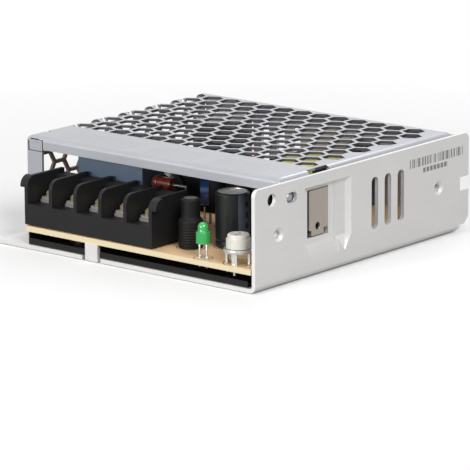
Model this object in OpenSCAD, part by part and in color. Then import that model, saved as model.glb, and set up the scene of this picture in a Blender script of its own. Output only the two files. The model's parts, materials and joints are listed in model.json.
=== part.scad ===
// Enclosed switching power supply: a folded aluminium chassis with a stamped
// heat-sink pocket, a folded cover of hexagon mesh, a board of components and a
// five-way screw terminal block. Millimetres, +Z up, origin at the bottom centre.
// The modules draw in a corner frame (X along the front, Y to the back), which
// at_corner() moves so that the origin lies at the middle of the base.

/* [Case] */
// Width across the front
case_w = 97; // [92:0.5:110]
// Length of the right wall, front to back
case_d = 99; // [97:0.5:110]
// Height over the mesh cover
case_h = 30; // [29:0.5:36]
// Thickness of the aluminium chassis sheet
sheet = 1.2; // [1:0.1:1.5]
// Inside radius of the chassis bends
bend_r = 0.8; // [0.5:0.1:1.2]
// Drop of the right wall's top edge below the cover
wall_drop = 0.8; // [0.6:0.1:1.2]
// Length of the right wall that stands free behind the rear wall
tail_len = 4.8; // [4:0.1:7]
// Height of the low inner lip along the left edge
left_lip_h = 4.6; // [4:0.1:4.8]

/* [Cover] */
// Thickness of the cover sheet
cover_t = 0.8; // [0.6:0.1:1]
// Distance of the cover from the front edge of the chassis
cover_front = 13.1; // [12:0.1:15]
// Clearance between the cover's folds and the chassis walls
cover_gap = 0.1; // [0.05:0.05:0.3]
// Outside radius of the cover's folds
cover_r = 1.6; // [1.4:0.1:2]
// Drop of the front and rear lips below the cover's top face
lip_drop = 3.8; // [3:0.1:6]
// Width of the left wall's flange that turns in at the front
front_flange_w = 5.8; // [4:0.1:7]
// Width of a mesh hexagon across its flats
hex_flats = 5.9; // [5:0.1:6.1]
// Pitch of the hexagons along X
hex_pitch = 7; // [6.8:0.1:8]
// Solid band of the top behind the front fold
band_d = 17.3; // [14:0.1:20]
// Solid margin at the right and rear of the mesh
mesh_margin = 2.2; // [2:0.1:4]

/* [Chassis openings] */
// Width of a vent slot
slot_w = 3.1; // [2.5:0.1:3.6]
// Pitch of the vent slots
slot_pitch = 6.1; // [5:0.1:7]
// Lower and upper ends of a vent slot
slot_z = [8.4, 23.7];
// Distance of the first side vent slot from the front
side_slot_y = 53.9; // [50:0.1:60]
// Distance of the first rear vent slot from the left
rear_slot_x = 18.5; // [12:0.1:24]
// Distance of the front M3 side hole from the front
side_hole_y = 10.3; // [9:0.1:12]
// Distance of the rear M3 side hole from the rear wall's outer face
side_hole_rear = 9.9; // [8:0.1:14]
// Height of the M3 side holes
side_hole_z = 15; // [12:0.5:18]
// Radius of an M3 tapped hole
tap_r = 1.25; // [1.2:0.05:1.4]
// Radius of an M3 hole's lead-in at the sheet's outer face
tap_mouth_r = 2.1; // [1.8:0.05:2.4]
// Length of the collar that is drawn inwards round an M3 hole
collar_h = 1.2; // [0.8:0.1:1.6]
// Wall of that collar
collar_t = 0.8; // [0.6:0.1:1]
// Radius of the plain round hole near the front top corner
round_hole_r = 1.85; // [1.5:0.05:2.5]
// Place of the round hole: from the front, down from the wall's top edge
round_hole_at = [7.4, 3.9];
// Width and height of the obround hole that the cover snaps into
snap_size = [4.6, 3.1];
// Place of the obround hole's middle: from the front, down from the wall's top edge
snap_at = [16.2, 4.7];
// Height and depth of the notch in the tail
notch = [4, 4.2];
// Height of the notch's middle
notch_z = 14.3; // [13:0.1:16]
// Distance of the bottom M3 holes from the left edge
base_hole_x = 20; // [15:0.5:30]
// Distance of the front bottom M3 hole from the front
base_hole_y = 13.5; // [10:0.5:20]
// Distance of the rear bottom M3 hole from the rear wall's outer face
base_hole_rear = 8.7; // [7:0.1:15]
// Left and right ends of the tab at the front that carries the board's edge
tab_x = [34, 38.7];

/* [Stamped pocket] */
// Front and rear edges of the deep bay
bay_y = [22, 37.4];
// Height of the deep bay's lower edge
bay_foot = 4; // [3:0.1:6]
// Distance of the bays' upper edges from the wall's top edge
bay_drop = 3.2; // [2.6:0.1:5]
// Depth of the deep bay
bay_depth = 1.8; // [1.2:0.1:2]
// Radius of the deep bay's lower front corner
bay_corner_r = 3; // [2:0.1:4]
// Run of the deep bay's lower, front and upper ramps
bay_ramp = [4.8, 1.2, 1.4];
// Depth of the shallow bay beside it
side_bay_depth = 1.3; // [0.8:0.1:1.6]
// Rear edge of the shallow bay
side_bay_end = 43; // [41:0.1:46]
// Point of the shallow bay's V-shaped foot: from the front, from the base
side_bay_tip = [40, 5];
// Height of the shallow bay's floor above the base
side_bay_floor_z = 9.4; // [8:0.1:12]
// Run of the shallow bay's rear ramp
side_bay_ramp = 1.4; // [1:0.1:3]
// Front and rear edges of the window through the deep bay
window_y = [25.2, 34.6];
// Height of the window's lower edge
window_foot = 10.7; // [9:0.1:14]
// Distance of the window's upper edge from the wall's top edge
window_drop = 4.7; // [4:0.1:7]

/* [Circuit board] */
// Height of the board's underside
board_z = 5; // [4.4:0.1:6]
// Thickness of the board
board_t = 1.6; // [1.2:0.1:2]
// Left edge of the board
board_x = 10.5; // [9:0.1:12]
// Width of the wing of the board behind the cover's front flange
board_wing = 7.5; // [5:0.1:8]
// Front edge of the board
board_y = 0.3; // [0.2:0.1:1]
// Clearance of the board to the walls
board_gap = 0.6; // [0.5:0.1:1]
// Radius of the holes for the board screws
board_hole_r = 1.7; // [1.6:0.05:2]
// Clearance of the component leads in their holes
lead_gap = 0.1; // [0.05:0.05:0.2]
// Length of the leads below the board
lead_tail = 1.2; // [0.8:0.1:1.6]
// Distance of the board screws from the left edge and from the right wall's inside
board_screw_x = [6.4, 5.8];
// Distance of the left screws from the front and from the rear wall's inside
left_screw_y = [24, 9];
// Distance of the right screws from the front and from the rear wall's inside
right_screw_y = [18.4, 5];
// Thickness of the insulating film
film_t = 0.4; // [0.3:0.1:0.6]
// Height of the film's front lip
film_lip_h = 1.8; // [1:0.1:2.5]
// Set-back of the film behind the front edge
film_y = 0.7; // [0.5:0.1:2]

/* [Terminal block] */
// Number of terminals
poles = 5; // [2:1:7]
// Pitch of the terminals
pole_pitch = 9.5; // [8:0.1:10]
// Thickness of the dividers
divider_t = 1.2; // [1:0.1:1.6]
// Left face of the block
block_x = 10; // [10:0.1:14]
// Front face of the block
block_y = 0.8; // [0.5:0.1:2]
// Length of the block, front to back
block_d = 16; // [15:0.1:18]
// Height of the plate seats
seat_z = 12.7; // [12:0.1:14]
// Rise of the front wall above the seats
sill_h = 0.35; // [0.2:0.05:1]
// Set-back of the terminal plates behind the block's front
plate_back = 5.1; // [4:0.1:5.5]
// Thickness of the terminal plates
plate_t = 1; // [0.8:0.1:1.2]
// Set-back of the screws behind the block's front
pole_back = 8.2; // [8:0.1:9]
// Set-back of the rear rail behind the block's front
rail_back = 12.4; // [12:0.1:13]
// Height of the divider tops
divider_z = 21.1; // [21:0.1:24]
// Radius of the dividers' front top corners
divider_r = 3; // [2:0.1:4]
// Radius of a terminal screw's head
screw_head_r = 3.2; // [2.8:0.1:3.5]
// Radius of a terminal screw's shank
screw_r = 1.7; // [1.5:0.05:1.9]
// Thickness of the square clamp plates
washer_t = 0.8; // [0.6:0.1:1]
// Side of the square clamp plates
washer_w = 6.8; // [6:0.1:7]
// Height of a terminal screw's head
head_h = 2.1; // [1.8:0.1:2.4]
// Overhang of the lips on the end dividers
lip_w = 1.6; // [1:0.1:2]

/* [Components] */
// Indicator lamp: distance from the right wall's inside, from the board's front edge
lamp_at = [20, 2.7];
// Radius of the lamp's dome
lamp_r = 1.5; // [1.2:0.1:2]
// Voltage trimmer: distance from the right wall's inside, from the board's front edge
trimmer_at = [8.5, 4.3];
// Radius of the trimmer's knob
knob_r = 3.5; // [3:0.1:4]
// Front choke: distance from the block's right end, from the board's front edge
choke_at = [6.5, 9.9];
// Radius of the electrolytic capacitors at the output
output_cap_r = 5; // [4:0.1:5]
// Height of the electrolytic capacitors at the output
output_cap_h = 16; // [12:0.5:18]
// First output capacitor: distance from the right wall's inside, from the board's front edge
output_cap_at = [22.3, 18.4];
// Radius of the bulk capacitor
bulk_cap_r = 9; // [8:0.1:9.5]
// Height of the bulk capacitor
bulk_cap_h = 20; // [16:0.5:21]
// Bulk capacitor: distance from the left edge, from the rear wall's inside
bulk_cap_at = [18.5, 13];
// Filter capacitor: width, depth, height
filter_cap = [24.7, 9.5, 18.5];
// Distance of the filter capacitor from the left edge
filter_cap_x = 15.8; // [14:0.1:17]
// Clearance between the terminal block and the filter capacitor
filter_cap_gap = 1; // [0.5:0.1:2]
// Filter choke: left edge and front face of its core
filter_choke_at = [8, 40];
// Filter choke's core: width, depth, height, and width of its limbs
filter_core = [24, 7, 16, 5];
// Input fuse: left end, distance from the front, height over the board
fuse_at = [41.4, 22, 13.6];
// Thermistor: distance from the left edge, from the front
thermistor_at = [37.5, 31];
// Suppressor disc: distance from the left edge, from the front
suppressor_at = [57.6, 25.2];
// Bridge rectifier: left edge, rear face
bridge_at = [38, 38];
// Output choke: distance from the left edge, from the front
output_choke_at = [52, 53];
// Transformer core: width, depth, height
core_size = [27, 26, 17];
// Transformer's front left corner: distance from the right wall's inside, from the front
transformer_at = [34.3, 39.5];
// Width of the transformer's middle limb
limb_w = 7; // [6:0.1:8]
// Width of the transformer's end limbs
yoke_w = 5; // [4:0.1:6]
// Height of the transformer's winding
winding_h = 16.6; // [14:0.1:16.8]
// Length of a power package's body, its width and its thickness
package = [8.8, 9.8, 4.4];
// Heat spreader: width, thickness, height
spreader = [26, 3, 18];
// Heat spreader: left edge from the right wall's inside, gap to the rear wall
spreader_at = [39.8, 3];
// Control chip: left edge, distance from the rear wall's inside
chip_at = [36, 17];
// Optocoupler: left edge, distance from the rear wall's inside
optocoupler_at = [29.5, 25];
// Length and radius of an axial resistor's body
resistor = [6.4, 1.2];
// Resistors behind the filter capacitor: distance from the left edge, from the front
front_resistors = [[40, 46], [40, 51]];
// Resistors near the rear wall: distance from the left edge, from the rear wall's inside
rear_resistors = [[41, 29], [50, 9], [36, 7]];

/* [Hidden] */
$fn = 48;
over = 1;
board_top = board_z + board_t;
inner_x = case_w - sheet;
wall_h = case_h - wall_drop;
round_hole_mid = [round_hole_at[0], wall_h - round_hole_at[1]];
snap_mid = [snap_at[0], wall_h - snap_at[1]];
bay_z = [bay_foot, wall_h - bay_drop];
window_z = [window_foot, wall_h - window_drop];
rear_out = case_d - tail_len;
rear_in = rear_out - sheet;
cover_back = rear_in - cover_gap;
cover_right = inner_x - cover_gap - cover_t / 2;
row_pitch = hex_pitch * sqrt(3) / 2;
hex_r = hex_flats / sqrt(3);
mesh_start = cover_front + band_d;
board_right = inner_x - board_gap;
pole_w = pole_pitch - divider_t;
block_w = poles * pole_pitch + divider_t;
block_z = board_top + 0.3;
washer_z = seat_z + plate_t;
pole_y = block_y + pole_back;
pin_r = 0.4;
lead_r = 0.3;
standoff_r = 2.5;
standoff_places = [
    for (y = [left_screw_y[0], rear_in - left_screw_y[1]]) [board_screw_x[0], y],
    for (y = [right_screw_y[0], rear_in - right_screw_y[1]]) [inner_x - board_screw_x[1], y]
];
base_holes = [base_hole_y, rear_out - base_hole_rear];
side_holes = [side_hole_y, rear_out - side_hole_rear];
function pole_x(i) = block_x + divider_t / 2 + (i - 0.5) * pole_pitch;

// Places of the leads, as [x, y, radius]
function pair(at, dx, dy, r) = [for (s = [-1, 1]) [at[0] + s * dx, at[1] + s * dy, r]];
lamp_xy = [inner_x - lamp_at[0], board_y + lamp_at[1]];
lamp_leads = pair(lamp_xy, 1.27, 0, lead_r);
trimmer_xy = [inner_x - trimmer_at[0], board_y + trimmer_at[1]];
trimmer_turns = [200, 290, 20];
trimmer_leads = [for (a = trimmer_turns)
    [trimmer_xy[0] + (knob_r - 0.2) * cos(a), trimmer_xy[1] + (knob_r - 0.2) * sin(a), pin_r]];
choke_xy = [block_x + block_w + choke_at[0], board_y + choke_at[1]];
choke_leads = pair(choke_xy, 1.8, 0, lead_r);
front_cap_xy = [inner_x - output_cap_at[0], board_y + output_cap_at[1]];
rear_cap_xy = [front_cap_xy[0], front_cap_xy[1] + 2 * output_cap_r + 1];
output_cap_leads = concat(pair(front_cap_xy, output_cap_r / 2, 0, lead_r), pair(rear_cap_xy, output_cap_r / 2, 0, lead_r));
bulk_cap_xy = [bulk_cap_at[0], rear_in - bulk_cap_at[1]];
bulk_cap_leads = pair(bulk_cap_xy, bulk_cap_r / 2, 0, pin_r);
filter_cap_y = block_y + block_d + filter_cap_gap;
filter_cap_leads = pair([filter_cap_x + filter_cap[0] / 2, filter_cap_y + filter_cap[1] / 2], 8.75, 0, pin_r);
filter_choke_y = filter_choke_at[1] + filter_core[1] / 2;
limb_mids = [for (x = [filter_core[3], 2 * filter_core[0] - filter_core[3]]) filter_choke_at[0] + x / 2];
filter_choke_leads = [for (x = limb_mids) each pair([x, filter_choke_y - 5.6], 4, 0, pin_r)];
fuse_leads = [for (x = [fuse_at[0], fuse_at[0] + 12]) [x, fuse_at[1], lead_r]];
thermistor_leads = pair(thermistor_at, 3, 0, lead_r);
suppressor_turn = 40;
suppressor_leads = pair(suppressor_at, -2.25 * sin(suppressor_turn), 2.25 * cos(suppressor_turn), lead_r);
bridge = [20, 14, 3.6];
winding = [9.8, 12, 6.2];
flange = [10.8, 13.2, 1];
bridge_leads = [for (i = [0:3]) [bridge_at[0] + 2.5 + 5 * i, bridge_at[1] - bridge[2] / 2, pin_r]];
output_choke_leads = pair(output_choke_at, 0, 3, pin_r);
transformer_mid = [inner_x - transformer_at[0] + core_size[0] / 2, transformer_at[1] + core_size[1] / 2];
bobbin_l = core_size[0] - 2 * yoke_w - 0.2;
rail_x = bobbin_l / 2 + 2.4;
transformer_leads = [for (s = [-1, 1], i = [-2:2]) [transformer_mid[0] + s * rail_x, transformer_mid[1] + i * 3.6, pin_r]];
spreader_y = rear_in - spreader_at[1] - spreader[1];
transistor_x = inner_x - spreader_at[0] + spreader[0] / 2 - 1;
transistor_leads = [for (i = [-1:1]) [transistor_x + i * 2.54, spreader_y - package[2] / 2, pin_r]];
clip_t = 0.8;
clip_gap = 0.3;
clip_x = case_w - bay_depth;
diode_x = clip_x - sheet - 0.1;
diode_y = (window_y[0] + window_y[1]) / 2;
diode_leads = [for (i = [-1:1]) [diode_x - package[2] / 2, diode_y + i * 2.54, pin_r]];
function dip_leads(at, pairs) = [for (i = [0:pairs - 1], s = [-1, 1]) [at[0] + (i + 0.5) * 2.54, at[1] + s * 3.81, lead_r]];
chip_xy = [chip_at[0], rear_in - chip_at[1]];
optocoupler_xy = [optocoupler_at[0], rear_in - optocoupler_at[1]];
resistor_places = concat(front_resistors, [for (p = rear_resistors) [p[0], rear_in - p[1]]]);
resistor_leads = [for (p = resistor_places) each pair(p, resistor[0] / 2 + 1.4, 0, lead_r)];
all_leads = concat(
    lamp_leads, trimmer_leads, choke_leads, output_cap_leads, bulk_cap_leads, filter_cap_leads,
    filter_choke_leads, fuse_leads, thermistor_leads, suppressor_leads, bridge_leads, output_choke_leads,
    transformer_leads, transistor_leads, diode_leads, dip_leads(chip_xy, 4), dip_leads(optocoupler_xy, 2),
    resistor_leads
);

module at_corner() translate([-case_w / 2, -case_d / 2, 0]) children();

// A plate lying in the plane X = x, drawn as (Y, Z), with its face towards +X at x
module side_plate(x, t) translate([x - t, 0, 0]) rotate([90, 0, 90]) linear_extrude(t) children();

// A plate lying in the plane Y = y, drawn as (X, Z), with its face towards -Y at y
module cross_plate(y, t) translate([0, y + t, 0]) rotate([90, 0, 0]) linear_extrude(t) children();

// A rectangle with round corners, from its low corner
module round_rect(size, r) {
    translate([r, 0]) square([size[0] - 2 * r, size[1]]);
    translate([0, r]) square([size[0], size[1] - 2 * r]);
    for (x = [r, size[0] - r], y = [r, size[1] - r]) translate([x, y]) circle(r);
}

// An upright slot with round ends, centred on x, from z0 to z1
module slot(x, z0, z1, w) {
    translate([x - w / 2, z0 + w / 2]) square([w, z1 - z0 - w]);
    for (z = [z0 + w / 2, z1 - w / 2]) translate([x, z]) circle(w / 2);
}

// The outline of a right-angle fold: outside corner at the origin, legs along -X and +Y
module fold(t, r_out, leg_x, leg_y) {
    translate([-leg_x, 0]) square([leg_x - r_out, t]);
    translate([-t, r_out]) square([t, leg_y - r_out]);
    translate([-r_out, r_out]) intersection() {
        difference() {
            circle(r_out);
            circle(r_out - t);
        }
        translate([0, -r_out]) square(r_out);
    }
}

/* ---- Chassis ---- */

// A stamped bay as a solid that sinks into the right wall: the first child is its outline on
// the wall's face, the second the outline of its floor; g grows it by the sheet's thickness
module bay(depth, g) hull() {
    side_plate(case_w + over, over) offset(delta = g) children(0);
    side_plate(case_w - depth - g + 0.01, 0.01) offset(delta = g) children(1);
}

// The outline of the deep bay with its lower front corner rounded
module bay_outline(y, z, r) {
    translate([y[0] + r, z[0] + r]) circle(r, $fn = 32);
    translate([y[0], z[1] - r]) square([y[1] - y[0], r]);
    translate([y[1] - r, z[0]]) square([r, z[1] - z[0]]);
}

// The two bays side by side: the deep one with a long ramp, the shallow one with a V-shaped foot
module pocket(g) {
    bay(bay_depth, g) {
        bay_outline(bay_y, bay_z, bay_corner_r);
        bay_outline(
            [bay_y[0] + bay_ramp[1], bay_y[1] - 0.5], [bay_z[0] + bay_ramp[0], bay_z[1] - bay_ramp[2]],
            bay_corner_r / 2
        );
    }
    bay(side_bay_depth, g) {
        polygon([
            [bay_y[1] - 1, side_bay_floor_z], side_bay_tip, [side_bay_end, side_bay_floor_z],
            [side_bay_end, bay_z[1]], [bay_y[1] - 1, bay_z[1]]
        ]);
        translate([bay_y[1] - 1, side_bay_floor_z]) square([
            side_bay_end - side_bay_ramp - bay_y[1] + 1, bay_z[1] - bay_ramp[2] - side_bay_floor_z
        ]);
    }
}

module right_wall_outline() {
    difference() {
        translate([0, bend_r + sheet]) square([case_d, wall_h - bend_r - sheet]);
        corner_cut(0, wall_h, 1.8, 1, -1);
        corner_cut(case_d, wall_h, 2, -1, -1);
        translate([case_d, bend_r + sheet - 0.01]) rotate(45) square(2 * sqrt(2), center = true);
        translate(round_hole_mid) circle(round_hole_r);
        translate(snap_mid - snap_size / 2) round_rect(snap_size, snap_size[1] / 2 - 0.05);
        for (i = [0:2]) slot(side_slot_y + i * slot_pitch, slot_z[0], slot_z[1], slot_w);
        translate([case_d - notch[1], notch_z - notch[0] / 2]) square([notch[1] + over, notch[0]]);
    }
}

// The waste outside a round corner at (x, y); sx and sy point from the corner into the sheet
module corner_cut(x, y, r, sx, sy) translate([x, y]) difference() {
    translate([sx > 0 ? -over : -r, sy > 0 ? -over : -r]) square(r + over);
    translate([sx * r, sy * r]) circle(r);
}

// The collar of an M3 hole, from the sheet's outer face along +Z
module collar() cylinder(r = tap_r + collar_t, h = sheet + collar_h);

// What an M3 hole takes away: the bore and its lead-in
module tapping() {
    translate([0, 0, -over]) cylinder(r = tap_r, h = sheet + collar_h + 2 * over);
    cylinder(r1 = tap_mouth_r, r2 = tap_r, h = sheet / 2);
}

// Where the M3 holes of the right wall lie
module at_side_holes() for (y = side_holes) translate([case_w, y, side_hole_z]) rotate([0, -90, 0]) children();

// Where the M3 holes of the base lie
module at_base_holes() for (y = base_holes) translate([base_hole_x, y, 0]) children();

module right_wall() {
    difference() {
        union() {
            side_plate(case_w, sheet) right_wall_outline();
            pocket(sheet);
        }
        pocket(0);
        translate([case_w, 0, 0]) cube([3 * over, case_d, case_h]);
        translate([case_w - 5, window_y[0], window_z[0]])
            cube([6, window_y[1] - window_y[0], window_z[1] - window_z[0]]);
    }
}

module chassis() color([0.80, 0.80, 0.80]) at_corner() {
    difference() {
        union() {
            // Base with the fold up to the right wall
            difference() {
                translate([case_w, rear_out, 0]) rotate([90, 0, 0]) linear_extrude(rear_out)
                    fold(sheet, bend_r + sheet, case_w, bend_r + sheet + over);
                translate([-over, rear_out - bend_r - sheet, -over])
                    cube([case_w - bend_r - sheet + over, case_d, case_h]);
            }
            right_wall();
            // Rear wall and its fold
            translate([over, 0, 0]) rotate([90, 0, 90]) translate([rear_out, 0, 0])
                linear_extrude(case_w - bend_r - sheet - over)
                    fold(sheet, bend_r + sheet, bend_r + sheet + over, wall_h);
            // Low lip along the left edge, inside the cover
            translate([cover_t + cover_gap, cover_front + 6, sheet - 0.01])
                cube([sheet, rear_in - cover_front - 12, left_lip_h - sheet]);
            front_tab();
            at_side_holes() collar();
            at_base_holes() collar();
        }
        // Vent slots of the rear wall
        cross_plate(rear_in - over, sheet + 2 * over)
            for (i = [0:3]) slot(rear_slot_x + i * slot_pitch, slot_z[0], slot_z[1], slot_w);
        at_side_holes() tapping();
        at_base_holes() tapping();
        // Relief cuts beside the front tab
        for (x = [tab_x[0] - tab_cut, tab_x[1]]) translate([x, -over, -over])
            cube([tab_cut, 3.4, sheet + 2 * over]);
    }
}

tab_cut = 1.2;
// Tab that is bent up from the base to carry the board's front edge
module front_tab() translate([tab_x[0], 0, 0]) cube([tab_x[1] - tab_x[0], sheet, board_z]);

/* ---- Mesh cover ---- */

module hexagon() rotate(30) circle(hex_r, $fn = 6);

// The lattice as seen on the top, in X and Y; alternate rows shift by half a pitch
module top_lattice() {
    first = cover_right - 6;
    rows = floor((cover_back - mesh_margin - mesh_start - hex_r) / row_pitch);
    columns = ceil(first / hex_pitch);
    for (row = [0:rows], k = [0:columns]) {
        x = first - (k + (row % 2) / 2) * hex_pitch;
        if (x > -hex_flats / 3)
            translate([x, mesh_start + 2 + row * row_pitch]) hexagon();
    }
}

// The lattice of the left wall, in Y and Z, in step with the rows of the top
module side_lattice() {
    rows = floor((cover_back - mesh_margin - mesh_start - hex_r) / row_pitch);
    for (row = [-2:rows], k = [0:3]) {
        z = case_h - 3 - (k + (abs(row) % 2) / 2) * hex_pitch;
        if (z > 4)
            translate([mesh_start + 2 + row * row_pitch, z]) hexagon();
    }
}

module cover_shell() {
    depth = cover_back - cover_front;
    // Top sheet with the left wall; the top stops short of the right flange's fold
    translate([0, cover_back, case_h]) rotate([90, 0, 0]) linear_extrude(depth) mirror([1, 0]) mirror([0, 1])
        fold(cover_t, cover_r, cover_right - cover_r + 0.01, case_h - sheet - 0.1);
    // Right flange with its fold, inside the chassis wall
    translate([cover_right, cover_back, case_h]) rotate([90, 0, 0]) linear_extrude(depth) mirror([0, 1])
        fold(cover_t, cover_r, cover_r + 0.01, flange_drop);
    // Front and rear lips
    for (end = [0, 1])
        translate([front_flange_w + 0.4, end ? cover_back : cover_front, case_h])
            mirror([0, end, 0]) rotate([90, 0, 90]) linear_extrude(cover_right - front_flange_w - 1.6)
                mirror([1, 0]) mirror([0, 1]) fold(cover_t, cover_r, cover_r + 0.5, lip_drop);
}
flange_drop = 3.6;
fold_cut_y = [26.3, 35.3];
tongue_z = 22;

module mesh_cover() color([0.77, 0.79, 0.81]) at_corner() {
    difference() {
        cover_shell();
        // The corner folds of the front and rear edges are relieved
        for (end = [0, 1]) translate([0, end ? cover_back : cover_front, case_h]) mirror([0, end, 0])
            rotate([90, 0, 90]) linear_extrude(case_w) translate([-over, -cover_r]) difference() {
                square([cover_r + over, cover_r + over]);
                translate([cover_r + over, 0]) circle(cover_r);
            }
        // Mesh of the top and of the left wall
        translate([0, 0, case_h - 3 * cover_t]) linear_extrude(4 * cover_t) difference() {
            top_lattice();
            translate([-over, 0]) square([case_w, mesh_start]);
        }
        side_plate(3 * cover_t, 4 * cover_t) side_lattice();
        // Cut at the top of the right fold
        translate([cover_right - cover_r, fold_cut_y[0], case_h - 2 * cover_r])
            cube([case_w, fold_cut_y[1] - fold_cut_y[0], 3 * cover_r]);
    }
    // Flange of the left wall, turned in at the front
    translate([cover_t - 0.01, cover_front, sheet + 0.1])
        cube([front_flange_w - cover_t, cover_t, case_h - lip_drop - sheet - 0.6]);
    // Tongue of the right flange with the dimple that snaps into the chassis wall
    translate([cover_right - cover_t, cover_front, tongue_z])
        cube([cover_t, 6, case_h - flange_drop - tongue_z + 0.5]);
    translate([cover_right - 0.01, snap_mid[0], snap_mid[1]]) rotate([0, 90, 0])
        cylinder(r1 = 1.5, r2 = 0.9, h = cover_gap + cover_t / 2 + 0.5);
}

/* ---- Board and what carries it ---- */

module board_outline() difference() {
    union() {
        translate([board_x, board_y]) square([board_right - board_x, rear_in - board_gap - board_y]);
        translate([board_x - board_wing, cover_front + cover_t + board_gap])
            square([board_wing + 1, rear_in - 2 * board_gap - cover_front - cover_t]);
    }
    // Relief round the stamped pocket
    translate([board_right - 1.4, bay_y[0] - 2]) square([case_w, side_bay_end - bay_y[0] + 4]);
    for (p = standoff_places) translate(p) circle(board_hole_r);
    for (p = all_leads) translate([p[0], p[1]]) circle(p[2] + lead_gap, $fn = 24);
}

// Leads that pass through the board, from below it up to the height top
module pins(leads, top) for (p = leads) translate([p[0], p[1], board_z - lead_tail])
    cylinder(r = p[2], h = top - board_z + lead_tail);

module circuit_board() color([0.80, 0.66, 0.40]) at_corner()
    translate([0, 0, board_z]) linear_extrude(board_t) board_outline();

// A tray of black film: a low lip along the front, a high one along the left
module insulating_film() color([0.08, 0.08, 0.08]) at_corner() {
    left = board_x + 1;
    length = rear_in - film_y - 3;
    difference() {
        union() {
            translate([left, film_y, sheet]) cube([board_right - left - 1.5, length, film_t]);
            translate([left, film_y, sheet]) cube([board_right - left - 1.5, film_t, film_lip_h]);
            translate([left, film_y, sheet]) cube([film_t, length, board_z - sheet - 0.3]);
        }
        translate([tab_x[0] - 0.5, 0, 0]) cube([tab_x[1] - tab_x[0] + 1, 5, case_h]);
        for (p = standoff_places) translate([p[0], p[1], 0]) cylinder(r = standoff_r + 0.7, h = case_h);
        for (y = base_holes) translate([base_hole_x, y, 0])
            cylinder(r = tap_r + collar_t + 0.5, h = case_h);
    }
}

module board_standoffs() color([0.75, 0.75, 0.76]) at_corner() for (p = standoff_places)
    translate([p[0], p[1], sheet]) difference() {
        cylinder(r = standoff_r, h = board_z - sheet);
        translate([0, 0, -over]) cylinder(r = tap_r, h = case_h);
    }

module board_screws() color([0.72, 0.72, 0.74]) at_corner() for (p = standoff_places)
    translate([p[0], p[1], 0]) {
        translate([0, 0, board_top]) pan_head(2.75, 1.8);
        translate([0, 0, sheet + 0.6]) cylinder(r = tap_r - 0.02, h = board_top - sheet - 0.6 + 0.01);
    }

// A pan head with a cross recess
module pan_head(r, h) difference() {
    union() {
        cylinder(r = r, h = h * 0.55);
        translate([0, 0, h * 0.55]) cylinder(r1 = r, r2 = r * 0.72, h = h * 0.45);
    }
    for (turn = [0, 90]) rotate(turn) translate([-r * 0.55, -0.3, h * 0.4]) cube([r * 1.1, 0.6, h]);
}

/* ---- Terminal block ---- */

// Side outline of a divider, in Y and Z
module divider_outline() difference() {
    translate([block_y, block_z]) square([block_d, divider_z - block_z]);
    corner_cut(block_y, divider_z, divider_r, 1, -1);
}

// Side outline of the body between the dividers: front wall, plate seat and rear rail
module seat_outline() translate([block_y, 0]) {
    translate([0, block_z]) square([divider_t, seat_z + sill_h - block_z]);
    translate([0, board_top + 2]) square([block_d, seat_z - board_top - 2]);
    translate([rail_back, block_z]) square([block_d - rail_back, divider_z - divider_t - block_z]);
}

module terminal_block() color([0.13, 0.13, 0.13]) at_corner() {
    difference() {
        union() {
            translate([block_x, 0, 0]) rotate([90, 0, 90]) linear_extrude(block_w) seat_outline();
            for (i = [0:poles]) translate([block_x + i * pole_pitch, 0, 0])
                rotate([90, 0, 90]) linear_extrude(divider_t) divider_outline();
        }
        for (i = [1:poles]) translate([pole_x(i), pole_y, board_top]) cylinder(r = screw_r + 0.3, h = case_h);
    }
    // Lips at the front top of the end dividers
    for (x = [block_x - lip_w, block_x + block_w - 0.01])
        translate([x, 0, 0]) rotate([90, 0, 90]) linear_extrude(lip_w + 0.01) intersection() {
            divider_outline();
            translate([block_y, divider_z - divider_r - 0.3]) square([divider_r, divider_r + 0.3]);
        }
    // Feet on the board
    for (x = [4, block_w / 2, block_w - 4], y = [2, block_d - 2])
        translate([block_x + x, block_y + y, board_top]) cylinder(r = 1.2, h = 2.2);
}

module terminal_plates() color([0.80, 0.79, 0.76]) at_corner() for (i = [1:poles])
    translate([pole_x(i), 0, 0]) difference() {
        translate([-pole_w / 2 + 0.4, block_y + plate_back, seat_z])
            cube([pole_w - 0.8, rail_back - plate_back - 0.2, plate_t]);
        translate([0, pole_y, 0]) cylinder(r = screw_r + 0.05, h = case_h);
    }

// The square clamp plate that rides under a screw's head
module clamp_washer(i) color([0.78, 0.77, 0.74]) at_corner() translate([pole_x(i), pole_y, washer_z])
    difference() {
        linear_extrude(washer_t) translate([-washer_w / 2, -washer_w / 2]) round_rect([washer_w, washer_w], 0.8);
        translate([0, 0, -over]) cylinder(r = screw_r + 0.05, h = 3 * over);
    }

module terminal_screw(i) color([0.83, 0.74, 0.50]) at_corner() translate([pole_x(i), pole_y, 0]) {
    translate([0, 0, washer_z + washer_t]) pan_head(screw_head_r, head_h);
    translate([0, 0, board_top + 1.2]) cylinder(r = screw_r, h = washer_z + washer_t - board_top - 1.2 + 0.01);
}

/* ---- Lamp and trimmer ---- */

lamp_z = board_top + 4.2;
module status_lamp() color([0.16, 0.62, 0.30]) at_corner() translate([lamp_xy[0], lamp_xy[1], lamp_z]) {
    cylinder(r = lamp_r + 0.55, h = 3.4);
    rotate_extrude() union() {
        square([lamp_r, 4.6]);
        intersection() {
            translate([0, 4.6]) circle(lamp_r);
            translate([0, 4.5]) square(lamp_r + 0.1);
        }
    }
}

module lamp_legs() color([0.85, 0.85, 0.85]) at_corner() pins(lamp_leads, lamp_z);

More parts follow.
